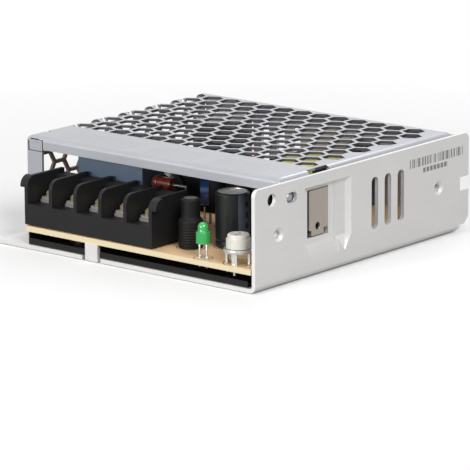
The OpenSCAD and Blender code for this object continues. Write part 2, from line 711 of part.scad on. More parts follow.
knob_z = board_top + 4.4;
module trimmer_frame() color([0.78, 0.78, 0.76]) at_corner() translate([trimmer_xy[0], trimmer_xy[1], 0]) {
    difference() {
        translate([0, 0, knob_z - 1.1]) cylinder(r = knob_r + 0.7, h = 1);
        translate([0, 0, knob_z - 3]) cylinder(r = 1.05, h = case_h);
    }
    for (turn = trimmer_turns) rotate(turn)
        translate([knob_r - 0.5, -0.8, board_top]) cube([0.6, 1.6, knob_z - 0.5 - board_top]);
    translate([-trimmer_xy[0], -trimmer_xy[1], 0]) pins(trimmer_leads, board_top + 0.5);
}

module trimmer_knob() color([0.80, 0.80, 0.76]) at_corner() translate([trimmer_xy[0], trimmer_xy[1], knob_z]) {
    difference() {
        union() {
            cylinder(r = knob_r, h = 2.7);
            translate([0, 0, 2.7]) cylinder(r = knob_r - 0.4, h = 1);
            translate([0, 0, 3.7]) cylinder(r1 = knob_r - 0.4, r2 = knob_r - 0.7, h = 0.3);
        }
        for (turn = [0, 90]) rotate(turn) translate([-2, -0.4, 3]) cube([4, 0.8, 2]);
    }
    translate([0, 0, -1.6]) cylinder(r = 1, h = 1.61);
}

/* ---- Capacitors and wound parts ---- */

// An electrolytic capacitor: rolled groove near its foot, scored aluminium top
module can(r, h) rotate_extrude() polygon([
    [0, 0], [r - 0.4, 0], [r, 0.5], [r, 1.6], [r - 0.35, 2.1], [r, 2.6],
    [r, h - 0.5], [r - 0.5, h], [r - 0.9, h], [r - 0.9, h - 0.25], [0, h - 0.25]
]);

module output_capacitor_front() color([0.15, 0.16, 0.18]) at_corner() {
    translate([front_cap_xy[0], front_cap_xy[1], board_top]) can(output_cap_r, output_cap_h);
    pins([output_cap_leads[0], output_cap_leads[1]], board_top + 0.01);
}

module output_capacitor_rear() color([0.15, 0.16, 0.18]) at_corner() {
    translate([rear_cap_xy[0], rear_cap_xy[1], board_top]) can(output_cap_r, output_cap_h);
    pins([output_cap_leads[2], output_cap_leads[3]], board_top + 0.01);
}

module bulk_capacitor() color([0.20, 0.20, 0.22]) at_corner() {
    translate([bulk_cap_xy[0], bulk_cap_xy[1], board_top]) can(bulk_cap_r, bulk_cap_h);
    pins(bulk_cap_leads, board_top + 0.01);
}

// A moulded box with a lip round its rear face
module filter_capacitor() color([0.33, 0.38, 0.42]) at_corner() {
    translate([filter_cap_x, filter_cap_y, board_top + 0.3]) difference() {
        cube(filter_cap);
        for (z = [-over, filter_cap[2] - 0.6]) translate([-over, filter_cap[1] - 0.6, z])
            cube([filter_cap[0] + 2 * over, 2, 0.6 + over]);
    }
    pins(filter_cap_leads, board_top + 0.5);
}

// A closed ring core that stands across the board
module filter_choke_core() color([0.24, 0.24, 0.25]) at_corner()
    translate([filter_choke_at[0], 0, board_top + 4]) cross_plate(filter_choke_at[1], filter_core[1]) difference() {
        square([filter_core[0], filter_core[2]]);
        translate([filter_core[3], 4]) square([filter_core[0] - 2 * filter_core[3], filter_core[2] - 8]);
    }

// Two windings on flanged formers, one round each upright limb of the core
module filter_choke_coils() color([0.70, 0.42, 0.20]) at_corner() {
    for (x = limb_mids) translate([x, filter_choke_y, board_top]) difference() {
        union() {
            translate([-winding[0] / 2, -winding[1] / 2, 9]) cube(winding);
            for (z = [8.1, 14.9]) translate([-flange[0] / 2, -flange[1] / 2, z]) cube(flange);
        }
        translate([-filter_core[3] / 2 - 0.05, -filter_core[1] / 2 - 0.05, 0])
            cube([filter_core[3] + 0.1, filter_core[1] + 0.1, 30]);
    }
    pins(filter_choke_leads, board_top + 8.2);
}

// An axial fuse with end caps, held up by its leads
module input_fuse() color([0.45, 0.17, 0.13]) at_corner() {
    lead = [fuse_leads[0][0], fuse_leads[1][0]];
    translate([lead[0], fuse_at[1], board_top + fuse_at[2]]) {
        translate([1.4, 0, 0]) rotate([0, 90, 0]) cylinder(r = 1.9, h = 5.2);
        for (x = [0.8, 5.8]) translate([x, 0, 0]) rotate([0, 90, 0]) cylinder(r = 2.1, h = 1.6);
        rotate([0, 90, 0]) cylinder(r = lead_r, h = lead[1] - lead[0]);
    }
    pins(fuse_leads, board_top + fuse_at[2] + lead_r);
}

// A flat coated disc with its low edge at the height lift, facing along its own X axis
module disc_part(at, turn, r, t, lift) translate([at[0], at[1], board_top + lift + r]) rotate([0, 0, turn])
    translate([-t / 2, 0, 0]) rotate([0, 90, 0]) cylinder(r = r, h = t);

module inrush_thermistor() color([0.08, 0.13, 0.11]) at_corner() {
    disc_part(thermistor_at, 90, 6, 4, 2.5);
    pins(thermistor_leads, board_top + 5.5);
}

module suppressor_disc() color([0.07, 0.17, 0.35]) at_corner() {
    disc_part(suppressor_at, suppressor_turn, 4.5, 2.4, 8.5);
    pins(suppressor_leads, board_top + 10.7);
}

module bridge_rectifier() color([0.10, 0.10, 0.10]) at_corner() {
    translate([bridge_at[0], 0, board_top + 3.5]) cross_plate(bridge_at[1] - bridge[2], bridge[2]) difference() {
        square([bridge[0], bridge[1]]);
        translate([bridge[0], bridge[1]]) rotate(45) square(4, center = true);
    }
    pins(bridge_leads, board_top + 3.6);
}

// A drum core in a shrunk sleeve that steps in over its upper half
module front_choke() color([0.10, 0.10, 0.11]) at_corner() {
    translate([choke_xy[0], choke_xy[1], board_top]) rotate_extrude() polygon([
        [0, 0], [3.3, 0], [3.55, 0.6], [3.55, 7.6], [3.3, 8.3], [2.8, 8.8],
        [2.7, 9.4], [2.7, 13.9], [2.3, 14.4], [0, 14.4]
    ]);
    pins(choke_leads, board_top + 0.01);
}

// A ring core with its winding, standing on its edge in a small saddle
module output_choke() color([0.62, 0.36, 0.16]) at_corner() {
    translate([output_choke_at[0], output_choke_at[1], board_top]) {
        translate([0, 0, 8.5]) rotate([0, 90, 0]) rotate_extrude() translate([5.6, 0]) circle(3, $fn = 32);
        translate([-2.2, -4, 0]) cube([4.4, 8, 0.8]);
    }
    pins(output_choke_leads, board_top + 1.4);
}

/* ---- Transformer ---- */

core_z = board_top + 4;
// Two E-shaped halves, one from each side, whose three limbs lie along X
module transformer_core() color([0.22, 0.22, 0.23]) at_corner()
    translate([transformer_mid[0], transformer_mid[1], core_z + 1.5]) linear_extrude(core_size[2] - 5) difference() {
        square([core_size[0], core_size[1]], center = true);
        gap = core_size[1] / 2 - limb_w - 0.5;
        for (s = [-1, 1]) translate([0, s * (limb_w + gap) / 2])
            square([core_size[0] - 2 * yoke_w, gap], center = true);
    }

// A former with two end flanges round the middle limb, and a pin rail under each end of the core
module transformer_bobbin() color([0.12, 0.12, 0.13]) at_corner() {
    width = core_size[1] - limb_w - 1.2;
    translate([transformer_mid[0], transformer_mid[1], 0]) {
        difference() {
            union() {
                for (x = [-bobbin_l / 2, bobbin_l / 2 - 1]) translate([x, -width / 2, core_z - 1])
                    cube([1, width, core_size[2]]);
                translate([-bobbin_l / 2, -limb_w / 2 - 1, core_z]) cube([bobbin_l, limb_w + 2, core_size[2] - 2]);
            }
            translate([-bobbin_l, -limb_w / 2 - 0.1, core_z + 1.4])
                cube([2 * bobbin_l, limb_w + 0.2, core_size[2] - 4.8]);
        }
        for (s = [-1, 1]) translate([s * rail_x - 2.4, -width / 2, core_z - 3]) cube([4.8, width, 3]);
    }
    pins(transformer_leads, core_z - 2.9);
}

module transformer_winding() color([0.85, 0.80, 0.30]) at_corner() {
    length = bobbin_l - 2.2;
    translate([transformer_mid[0] - length / 2, transformer_mid[1], core_z - 0.8]) rotate([90, 0, 90])
        linear_extrude(length) difference() {
            translate([-limb_w / 2 - 4.9, 0]) round_rect([limb_w + 9.8, winding_h], 2);
            translate([-limb_w / 2 - 1.02, 0.8]) square([limb_w + 2.04, core_size[2] - 1.99]);
        }
}

/* ---- Power parts and small parts ---- */

// A power package that stands against the plane X = 0: its body, and its tab with a hole
module power_package() {
    translate([0, -package[1] / 2, 0]) cube([package[2], package[1], package[0]]);
    translate([0, -package[1] / 2, package[0] - 0.01]) difference() {
        cube([1.3, package[1], 6]);
        translate([-over, package[1] / 2, 3]) rotate([0, 90, 0]) cylinder(r = 1.8, h = 3 * over);
    }
}
package_lift = 3.4;

module output_diode() color([0.09, 0.09, 0.09]) at_corner() {
    translate([diode_x, diode_y, board_top + package_lift]) mirror([1, 0, 0]) power_package();
    pins(diode_leads, board_top + package_lift + 0.01);
}

// The clip lies in the pocket's window, level with the bay's floor; its folded edges bear on the diode
module spring_clip() color([0.68, 0.66, 0.62]) at_corner() {
    y = [window_y[0] + 1, window_y[1] - 0.1];
    z = [window_z[0] + 2, window_z[1] - clip_gap];
    foot = [y[0] + 1, y[1] - 1.7];
    side_plate(clip_x, clip_t) difference() {
        union() {
            translate([y[0], z[0]]) square([y[1] - y[0], z[1] - z[0]]);
            translate([foot[0], window_z[0] + clip_gap]) square([foot[1] - foot[0], z[0] - window_z[0]]);
        }
        translate([(foot[0] + foot[1]) / 2, z[0] + 0.9]) circle(1.05);
    }
    fold_w = clip_x - clip_t - diode_x - 0.02;
    for (edge = [[y, z[1] - clip_t], [foot, window_z[0] + clip_gap]])
        translate([diode_x + 0.02, edge[0][0], edge[1]]) cube([fold_w + 0.01, edge[0][1] - edge[0][0], clip_t]);
}

module heat_spreader() color([0.76, 0.77, 0.78]) at_corner()
    translate([inner_x - spreader_at[0], spreader_y, board_top]) difference() {
        cube(spreader);
        for (x = [5, spreader[0] - 5]) translate([x, -over, spreader[2] - 3]) rotate([-90, 0, 0])
            cylinder(r = tap_r, h = spreader[1] + 2 * over);
    }

module switching_transistor() color([0.09, 0.09, 0.09]) at_corner() {
    translate([transistor_x, spreader_y, board_top + package_lift]) rotate([0, 0, -90]) power_package();
    pins(transistor_leads, board_top + package_lift + 0.01);
}

// A dual-in-line package: body with a notch, and bent legs on both sides
module dip(at, pairs) {
    leads = dip_leads(at, pairs);
    translate([at[0], at[1], board_top]) difference() {
        translate([0, -3.2, 0.8]) cube([pairs * 2.54, 6.4, 3.2]);
        translate([0, 0, 3.2]) cylinder(r = 0.9, h = 2);
    }
    for (p = leads) {
        side = p[1] > at[1] ? 1 : -1;
        translate([p[0] - 0.3, p[1] - 0.15, board_top]) cube([0.6, 0.3, 2.4]);
        translate([p[0] - 0.3, p[1] - (side > 0 ? 0.85 : 0.15), board_top + 2.1]) cube([0.6, 1, 0.3]);
    }
    pins(leads, board_top + 0.5);
}

module control_chip() color([0.10, 0.10, 0.10]) at_corner() dip(chip_xy, 4);

module optocoupler() color([0.86, 0.86, 0.84]) at_corner() dip(optocoupler_xy, 2);

// Axial resistors on bent leads
module board_resistors() color([0.62, 0.52, 0.38]) at_corner() {
    lift = board_top + resistor[1] + 0.3;
    for (p = resistor_places) translate([p[0], p[1], lift]) rotate([0, 90, 0]) {
        translate([0, 0, -resistor[0] / 2]) cylinder(r = resistor[1], h = resistor[0]);
        translate([0, 0, -resistor[0] / 2 - 1.7]) cylinder(r = lead_r, h = resistor[0] + 3.4);
    }
    pins(resistor_leads, lift + lead_r);
}

chassis();
mesh_cover();
insulating_film();
circuit_board();
board_standoffs();
board_screws();
terminal_block();
terminal_plates();
for (i = [1:poles]) clamp_washer(i);
for (i = [1:poles]) terminal_screw(i);
status_lamp();
lamp_legs();
trimmer_frame();
trimmer_knob();
front_choke();
output_capacitor_front();
output_capacitor_rear();
bulk_capacitor();
filter_capacitor();
filter_choke_core();
filter_choke_coils();
input_fuse();
inrush_thermistor();
bridge_rectifier();
suppressor_disc();
output_choke();
transformer_core();
transformer_bobbin();
transformer_winding();
output_diode();
spring_clip();
switching_transistor();
heat_spreader();
control_chip();
optocoupler();
board_resistors();
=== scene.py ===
"""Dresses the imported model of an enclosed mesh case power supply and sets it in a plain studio.

Each class below is one sub-assembly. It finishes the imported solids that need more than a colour,
adds the small parts that belong with them, and reports what it made.
"""

import json
import logging
import math
from dataclasses import dataclass, field
from enum import Enum
from typing import Callable, ClassVar, Sequence, Union

import bpy
from mathutils import Matrix, Vector

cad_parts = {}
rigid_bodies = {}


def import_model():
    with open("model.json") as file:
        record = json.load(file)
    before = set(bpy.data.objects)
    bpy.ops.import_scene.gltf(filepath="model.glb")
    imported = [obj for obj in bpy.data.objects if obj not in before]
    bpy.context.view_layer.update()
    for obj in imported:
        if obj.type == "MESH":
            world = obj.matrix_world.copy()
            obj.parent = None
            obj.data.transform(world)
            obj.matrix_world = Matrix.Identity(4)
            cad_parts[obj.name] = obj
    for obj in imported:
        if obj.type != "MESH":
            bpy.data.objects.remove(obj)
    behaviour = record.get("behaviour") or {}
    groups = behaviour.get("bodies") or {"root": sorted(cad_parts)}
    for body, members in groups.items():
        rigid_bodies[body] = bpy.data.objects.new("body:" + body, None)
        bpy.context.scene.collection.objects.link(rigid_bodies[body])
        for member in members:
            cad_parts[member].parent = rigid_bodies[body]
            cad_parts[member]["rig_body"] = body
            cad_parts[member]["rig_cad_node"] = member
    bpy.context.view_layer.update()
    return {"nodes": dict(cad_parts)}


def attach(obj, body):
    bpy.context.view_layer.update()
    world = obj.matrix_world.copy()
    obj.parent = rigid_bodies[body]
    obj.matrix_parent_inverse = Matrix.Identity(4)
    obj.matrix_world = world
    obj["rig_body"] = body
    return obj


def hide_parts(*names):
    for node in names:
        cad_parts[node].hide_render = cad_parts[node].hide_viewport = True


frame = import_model()

MM = 0.001
LOG = logging.getLogger("power_supply")
Colour = tuple[float, float, float]
Number = Union[float, "Signal"]


# ---------------------------------------------------------------- shader maths


class Signal:
    """A shader socket that takes part in Python expressions."""

    def __init__(self, graph: "Graph", socket: bpy.types.NodeSocket) -> None:
        """Wraps a socket.

        Args:
            graph: The material graph that the socket belongs to.
            socket: The output socket to wrap.
        """
        self.graph = graph
        self.socket = socket

    def _math(self, operation: str, *values: Number) -> "Signal":
        """Adds one Math node over the given values."""
        return self.graph.maths(operation, *values)

    def __add__(self, other: Number) -> "Signal":
        """Sum of two signals."""
        return self._math("ADD", self, other)

    def __sub__(self, other: Number) -> "Signal":
        """Difference of two signals."""
        return self._math("SUBTRACT", self, other)

    def __rsub__(self, other: Number) -> "Signal":
        """Difference with the signal on the right."""
        return self._math("SUBTRACT", other, self)

    def __mul__(self, other: Number) -> "Signal":
        """Product of two signals."""
        return self._math("MULTIPLY", self, other)

    def __truediv__(self, other: Number) -> "Signal":
        """Quotient of two signals."""
        return self._math("DIVIDE", self, other)

    def __rtruediv__(self, other: Number) -> "Signal":
        """Quotient with the signal below the line."""
        return self._math("DIVIDE", other, self)

    def __gt__(self, other: Number) -> "Signal":
        """One where the signal is above the other value, else nought."""
        return self._math("GREATER_THAN", self, other)

    def __lt__(self, other: Number) -> "Signal":
        """One where the signal is below the other value, else nought."""
        return self._math("LESS_THAN", self, other)

    def __abs__(self) -> "Signal":
        """Size of the signal without its sign."""
        return self._math("ABSOLUTE", self)

    def repeat(self, period: float) -> "Signal":
        """Saw-tooth of the signal, from nought to one over each period."""
        return (self / period)._math("FRACT", self / period)

    def within(self, low: float, high: float) -> "Signal":
        """One where the signal lies between two values, else nought."""
        return (self > low) * (self < high)

    __radd__ = __add__
    __rmul__ = __mul__


class Graph:
    """One material and the nodes that it is made of."""

    def __init__(self, name: str, tree: bpy.types.NodeTree | None = None) -> None:
        """Starts an empty material, or empties a tree that is there.

        Args:
            name: The name of the material.
            tree: A node tree to fill in place of a new material's.
        """
        self.material = None if tree else bpy.data.materials.new(name)
        if self.material:
            self.material.use_nodes = True
            tree = self.material.node_tree
        self.tree = tree
        self.tree.nodes.clear()
        coordinates = self.tree.nodes.new("ShaderNodeTexCoord")
        self.place = Signal(self, coordinates.outputs["Object"])

    def node(self, kind: str, settings: dict | None = None, inputs: dict | None = None,
             output: int | str = 0) -> Signal:
        """Adds any node.

        Args:
            kind: The node's type.
            settings: Its own properties, set first; "stops" holds a ramp's positions and greys.
            inputs: Values or signals for its sockets, by name or index.
            output: The output socket to hand back.

        Returns:
            The chosen output as a signal.
        """
        made = self.tree.nodes.new(kind)
        for key, value in (settings or {}).items():
            if key == "stops":
                self._set_stops(made, value)
            else:
                setattr(made, key, value)
        for key, value in (inputs or {}).items():
            if isinstance(value, Signal):
                self.tree.links.new(value.socket, made.inputs[key])
            else:
                made.inputs[key].default_value = value
        return Signal(self, made.outputs[output])

    def maths(self, operation: str, *values: Number) -> Signal:
        """Adds one Math node over the given values."""
        return self.node("ShaderNodeMath", {"operation": operation}, dict(enumerate(values)))

    def greatest(self, first: Signal, *others: Signal) -> Signal:
        """Gives the greatest of several signals."""
        for other in others:
            first = self.maths("MAXIMUM", first, other)
        return first

    def away(self, centre: Vector) -> Signal:
        """Gives the level distance from an upright axis through a point."""
        x, y, _ = self.axes()
        across, along = x - centre.x, y - centre.y
        return self.maths("SQRT", across * across + along * along)

    @staticmethod
    def _set_stops(ramp: bpy.types.Node, stops: Sequence[tuple[float, float]]) -> None:
        """Sets the positions and greys of a colour ramp."""
        elements = ramp.color_ramp.elements
        while len(elements) < len(stops):
            elements.new(1.0)
        for element, (position, grey) in zip(elements, stops):
            element.position = position
            element.color = (grey, grey, grey, 1.0)

    def axes(self) -> tuple[Signal, Signal, Signal]:
        """Gives the place on the object along X, Y and Z, in metres."""
        split = self.node("ShaderNodeSeparateXYZ", inputs={0: self.place})
        outputs = split.socket.node.outputs
        return Signal(self, outputs[0]), Signal(self, outputs[1]), Signal(self, outputs[2])

    def stretched(self, scale: tuple[float, float, float]) -> Signal:
        """Gives the place scaled by a factor along each axis."""
        return self.node("ShaderNodeMapping", inputs={"Vector": self.place, "Scale": scale})

    def noise(self, scale: float, detail: float = 3.0, where: Signal | None = None) -> Signal:
        """Gives noise between nought and one.

        Args:
            scale: Cells per metre.
            detail: Octaves of finer noise.
            where: The place to read, if not the object's own.

        Returns:
            The noise as a value.
        """
        return self.node("ShaderNodeTexNoise", inputs={
            "Vector": where or self.place, "Scale": scale, "Detail": detail, "Roughness": 0.55})

    def spread(self, value: Signal, low: float, high: float) -> Signal:
        """Maps nought to one onto low to high."""
        return value * (high - low) + low

    def blend(self, mask: Number, first: Union[Colour, Signal], second: Union[Colour, Signal]) -> Signal:
        """Mixes two colours by a mask.

        Args:
            mask: Nought shows the first colour, one the second.
            first: A colour or a colour signal.
            second: A colour or a colour signal.

        Returns:
            The mixed colour.
        """
        def four(colour: Union[Colour, Signal]) -> Union[Signal, tuple[float, ...]]:
            """Adds the alpha to a plain colour."""
            return colour if isinstance(colour, Signal) else (*colour, 1.0)

        mixed = self.node("ShaderNodeMix", {"data_type": "RGBA"},
                          {0: mask, 6: four(first), 7: four(second)}, output=2)
        return mixed

    def bump(self, height: Signal, strength: float, distance: float) -> Signal:
        """Turns a height into a normal."""
        return self.node("ShaderNodeBump", inputs={
            "Strength": strength, "Distance": distance, "Height": height})

    def surface(self, **inputs: Union[Number, Colour, Signal]) -> bpy.types.Material:
        """Closes the graph with the surface shader.

        Args:
            **inputs: Socket values, with underscores for the spaces in their names.

        Returns:
            The finished material.
        """
        named = {}
        for key, value in inputs.items():
            name = "IOR" if key == "IOR" else key.replace("_", " ")
            plain_colour = isinstance(value, tuple) and len(value) == 3 and name != "Subsurface Radius"
            named[name] = (*value, 1.0) if plain_colour else value
        shader = self.node("ShaderNodeBsdfPrincipled", inputs=named)
        self.node_out(shader)
        return self.material

    def node_out(self, shader: Signal, kind: str = "ShaderNodeOutputMaterial") -> None:
        """Links a shader to the tree's output."""
        out = self.tree.nodes.new(kind)
        self.tree.links.new(shader.socket, out.inputs["Surface"])


def linear(red: int, green: int, blue: int) -> Colour:
    """Turns screen levels into the linear colour that a shader takes.

    Args:
        red: Red level, 0 to 255.
        green: Green level, 0 to 255.
        blue: Blue level, 0 to 255.

    Returns:
        The linear colour.
    """
    def one(level: int) -> float:
        """Undoes the screen's curve for one channel."""
        part = level / 255
        return part / 12.92 if part <= 0.04045 else ((part + 0.055) / 1.055) ** 2.4

    return one(red), one(green), one(blue)


# ---------------------------------------------------------------- finishes


@dataclass(frozen=True)
class SheetMetal:
    """Rolled sheet with faint grain, cloudy roughness and small handling marks."""

    name: str
    colour: Colour
    grain_axis: int = 1
    roughness: float = 0.38
    metallic: float = 0.75

    def build(self) -> bpy.types.Material:
        """Makes the material."""
        graph = Graph(self.name)
        return self.finish_of(graph, self.colour)

    def finish_of(self, graph: Graph, colour: Union[Colour, Signal]) -> bpy.types.Material:
        """Closes a graph with this sheet's grain over a colour.

        Args:
            graph: The material graph to close.
            colour: The colour, plain or patterned.

        Returns:
            The finished material.
        """
        scale = [2600.0, 2600.0, 2600.0]
        scale[self.grain_axis] = 60.0
        grain = graph.noise(1.0, 4.0, graph.stretched(tuple(scale)))
        cloud = graph.noise(45.0, 3.0)
        speck = graph.noise(900.0, 2.0) > 0.68
        shade = graph.spread(grain, 0.94, 1.04) * graph.spread(cloud, 0.96, 1.03)
        toned = graph.node("ShaderNodeMix", {"data_type": "RGBA", "blend_type": "MULTIPLY"}, {
            0: 1.0, 6: colour if isinstance(colour, Signal) else (*colour, 1.0),
            7: graph.node("ShaderNodeCombineColor", inputs={0: shade, 1: shade, 2: shade})}, output=2)
        rough = graph.spread(cloud, self.roughness - 0.07, self.roughness + 0.09) + speck * 0.05
        return graph.surface(
            Base_Color=toned, Metallic=self.metallic, Roughness=rough,
            Normal=graph.bump(grain + cloud * 0.4, 0.10, 0.00004))


@dataclass(frozen=True)
class LabelledSheet(SheetMetal):
    """The chassis sheet with plain bars and a dashed rule printed on its right face."""

    ink: Colour = linear(122, 120, 120)
    face: float = 48.4 * MM
    bars: tuple[float, float, float, float] = (20.8 * MM, 46.5 * MM, 23.0 * MM, 25.6 * MM)
    rule: tuple[float, float, float, float] = (27.3 * MM, 39.2 * MM, 20.9 * MM, 22.3 * MM)
    dash: float = 1.7 * MM

    def build(self) -> bpy.types.Material:
        """Makes the material."""
        graph = Graph(self.name)
        x, y, z = graph.axes()
        widths = graph.noise(1.0, 1.0, graph.stretched((0.0, 1500.0, 0.0)))
        bars = (widths > 0.5) * y.within(*self.bars[:2]) * z.within(*self.bars[2:])
        rule = (y.repeat(self.dash) < 0.72) * y.within(*self.rule[:2]) * z.within(*self.rule[2:])
        ink = (x > self.face) * graph.greatest(bars, rule) * 0.9
        return self.finish_of(graph, graph.blend(ink, self.colour, self.ink))


@dataclass(frozen=True)
class RuledSheet(SheetMetal):
    """The cover sheet with faint plain rules on its front band and painted shade on the walls of the holes in
    its mesh.
    """

    ink: Colour = linear(158, 161, 166)
    face: float = 29.7 * MM
    band: tuple[float, float] = (-34.0 * MM, -23.5 * MM)
    blocks: tuple[tuple[float, float], ...] = ((-38 * MM, -12 * MM), (-7 * MM, 12 * MM), (17 * MM, 37 * MM))
    row: float = 2.1 * MM
    ink_strength: float = 0.8
    # Painted shade for the walls of the hexagon holes, and how strongly it is laid on
    hole_wall_shade: Colour = linear(74, 70, 74)
    hole_wall_shade_strength: float = 0.85
    level: float = 0.5
    top_cells: tuple[float, float] = (-18.9 * MM, 42.0 * MM)
    left_cells: tuple[float, float] = (-34.0 * MM, 42.0 * MM)
    left_face: float = -47.72 * MM
    sheet_foot: float = 29.2 * MM
    fold_foot: float = 28.2 * MM

    def build(self) -> bpy.types.Material:
        """Makes the material."""
        graph = Graph(self.name)
        x, y, z = graph.axes()
        facing = graph.node("ShaderNodeSeparateXYZ", inputs={
            0: graph.node("ShaderNodeNewGeometry", output="True Normal")}).socket.node.outputs
        beside, upright = (abs(Signal(graph, facing[axis])) < self.level for axis in (0, 2))
        on_top = upright * (z > self.sheet_foot) * y.within(*self.top_cells)
        on_left = beside * (x < self.left_face) * y.within(*self.left_cells)
        # The walls of the holes, found by the way their faces turn, take the painted shade colour.
        cut = graph.greatest(on_top, on_left * (z < self.fold_foot)) * self.hole_wall_shade_strength
        blocks = graph.greatest(*(x.within(*block) for block in self.blocks))
        rows = (y.repeat(self.row) < 0.28) * y.within(*self.band) * blocks * (z > self.face)
        return self.finish_of(
            graph, graph.blend(cut, graph.blend(rows * self.ink_strength, self.colour, self.ink), self.hole_wall_shade))


@dataclass(frozen=True)
class Plastic:
    """Moulded plastic or a coating with a fine skin and uneven gloss; leads below a height are tinned."""

    name: str
    colour: Colour
    roughness: float = 0.45
    skin: float = 0.08
    coat: float = 0.0
    mottle: float = 0.06
    specular: float = 0.5
    leads_below: float = 0.0
    lead_line: Vector | None = None
    lead: Colour = linear(206, 205, 202)

    def build(self) -> bpy.types.Material:
        """Makes the material."""
        graph = Graph(self.name)
        cloud = graph.noise(120.0, 3.0)
        fine = graph.noise(2400.0, 3.0)
        darker = tuple(part * (1 - self.mottle * 2) for part in self.colour)
        lighter = tuple(min(1.0, part * (1 + self.mottle * 2)) for part in self.colour)
        _, y, z = graph.axes()
        metal = z < self.leads_below
        if self.lead_line:
            aside, above = y - self.lead_line.y, z - self.lead_line.z
            metal = graph.greatest(metal, (aside * aside + above * above) < (0.45 * MM) ** 2)
        gloss = graph.spread(fine * 0.5 + cloud * 0.5, self.roughness - 0.1, self.roughness + 0.1)
        return graph.surface(
            Base_Color=graph.blend(metal, graph.blend(cloud, darker, lighter), self.lead),
            Roughness=gloss * (1.0 - metal * 0.4), Metallic=metal * 0.9,
            Specular_IOR_Level=self.specular, Coat_Weight=self.coat, Coat_Roughness=0.12,
            Normal=graph.bump(fine, self.skin, 0.00005))


@dataclass(frozen=True)
class PlatedMetal:
    """Bright plated metal with soft tarnish."""

    name: str
    colour: Colour
    tarnish: Colour
    roughness: float = 0.24

    def build(self) -> bpy.types.Material:
        """Makes the material."""
        graph = Graph(self.name)
        cloud = graph.noise(420.0, 4.0)
        return graph.surface(
            Base_Color=graph.blend(graph.spread(cloud, -0.2, 1.1), self.colour, self.tarnish),
            Metallic=0.7, Roughness=graph.spread(cloud, self.roughness - 0.06, self.roughness + 0.14),
            Normal=graph.bump(cloud, 0.05, 0.00003))


class Lay(Enum):
    """How the turns of a winding lie."""

    STACKED = "one above the other"
    FANNED = "round the hole of a ring that stands across X"


@dataclass(frozen=True)
class Winding:
    """Enamelled wire, turn beside turn, with painted shade in the grooves between the turns."""

    name: str
    lay: Lay
    middle: Vector
    pitch: float
    colour: Colour = linear(184, 104, 52)
    # Painted shade for the grooves between the turns
    turn_shade: Colour = linear(70, 34, 18)

    def build(self) -> bpy.types.Material:
        """Makes the material."""
        graph = Graph(self.name)
        _, y, z = graph.axes()
        if self.lay is Lay.STACKED:
            along = z * (math.tau / self.pitch)
        else:
            along = graph.maths("ARCTAN2", z - self.middle.z, y - self.middle.y) * (math.tau / self.pitch)
        turns = graph.spread(graph.maths("SINE", along), 0.5, 1.0)
        cloud = graph.noise(300.0, 3.0)
        # The colour runs from the painted shade in the grooves to the wire's own colour on the crests of the
        # turns.
        return graph.surface(
            Base_Color=graph.blend(graph.maths("POWER", turns, 0.6), self.turn_shade, self.colour),
            Metallic=0.6, Roughness=graph.spread(cloud, 0.28, 0.45), Coat_Weight=0.3,
            Normal=graph.bump(turns, 0.7, 0.0002))


@dataclass(frozen=True)
class CanSleeve:
    """Shrunk sleeve of a can capacitor with its stripe and bars, and the can's scored top."""

    name: str
    centre: Vector
    radius: float
    top: float
    body: Colour = linear(23, 25, 26)
    stripe: Colour = linear(66, 74, 84)
    metal: Colour = linear(212, 214, 216)
    stripe_at: float = 0.06
    stripe_half: float = 0.62
    bar_pitch: float = 3.1 * MM

    def build(self) -> bpy.types.Material:
        """Makes the material."""
        graph = Graph(self.name)
        x, y, z = graph.axes()
        across, along = x - self.centre.x, y - self.centre.y
        out = graph.away(self.centre)
        aside = abs(graph.maths("ARCTAN2", along, across) - self.stripe_at)
        bars = (z.repeat(self.bar_pitch) < 0.5) * (aside < 0.13)
        wrap = graph.blend((aside < self.stripe_half) * (1.0 - bars), self.body, self.stripe)
        lid = (z > self.top - 0.4 * MM) * (out < self.radius - 0.85 * MM)
        score = graph.greatest(abs(across) < 0.14 * MM, abs(along) < 0.14 * MM) * (out < self.radius * 0.62)
        cloud = graph.noise(260.0, 3.0)
        # The score lines are bumped and also darkened with painted shade in their grooves.
        lid_colour = graph.blend(score * 0.65, self.metal, linear(96, 96, 98))
        return graph.surface(
            Base_Color=graph.blend(lid, wrap, lid_colour), Metallic=lid * 0.85,
            Roughness=graph.spread(cloud, 0.24, 0.38), Specular_IOR_Level=0.3,
            Normal=graph.bump(cloud - score * lid, 0.25, 0.0001))


@dataclass(frozen=True)
class DrumSleeve:
    """Dull sleeve shrunk over a drum core: ribs where the wire lies, and the core's own top."""

    name: str
    centre: Vector
    top: float
    rib_top: float
    rib_pitch: float = 0.75 * MM
    body: Colour = linear(12, 12, 13)
    core: Colour = linear(84, 82, 78)

    def build(self) -> bpy.types.Material:
        """Makes the material."""
        graph = Graph(self.name)
        _, _, z = graph.axes()
        ribs = graph.maths("SINE", z * (math.tau / self.rib_pitch)) * (z < self.rib_top)
        cap = (z > self.top - 0.25 * MM) * (graph.away(self.centre) < 1.9 * MM)
        fine = graph.noise(900.0, 3.0)
        return graph.surface(
            Base_Color=graph.blend(cap, self.body, self.core), Roughness=graph.spread(fine, 0.5, 0.7),
            Specular_IOR_Level=0.2,
            Normal=graph.bump(ribs * 0.6 + fine * 0.3, 0.6, 0.00015))


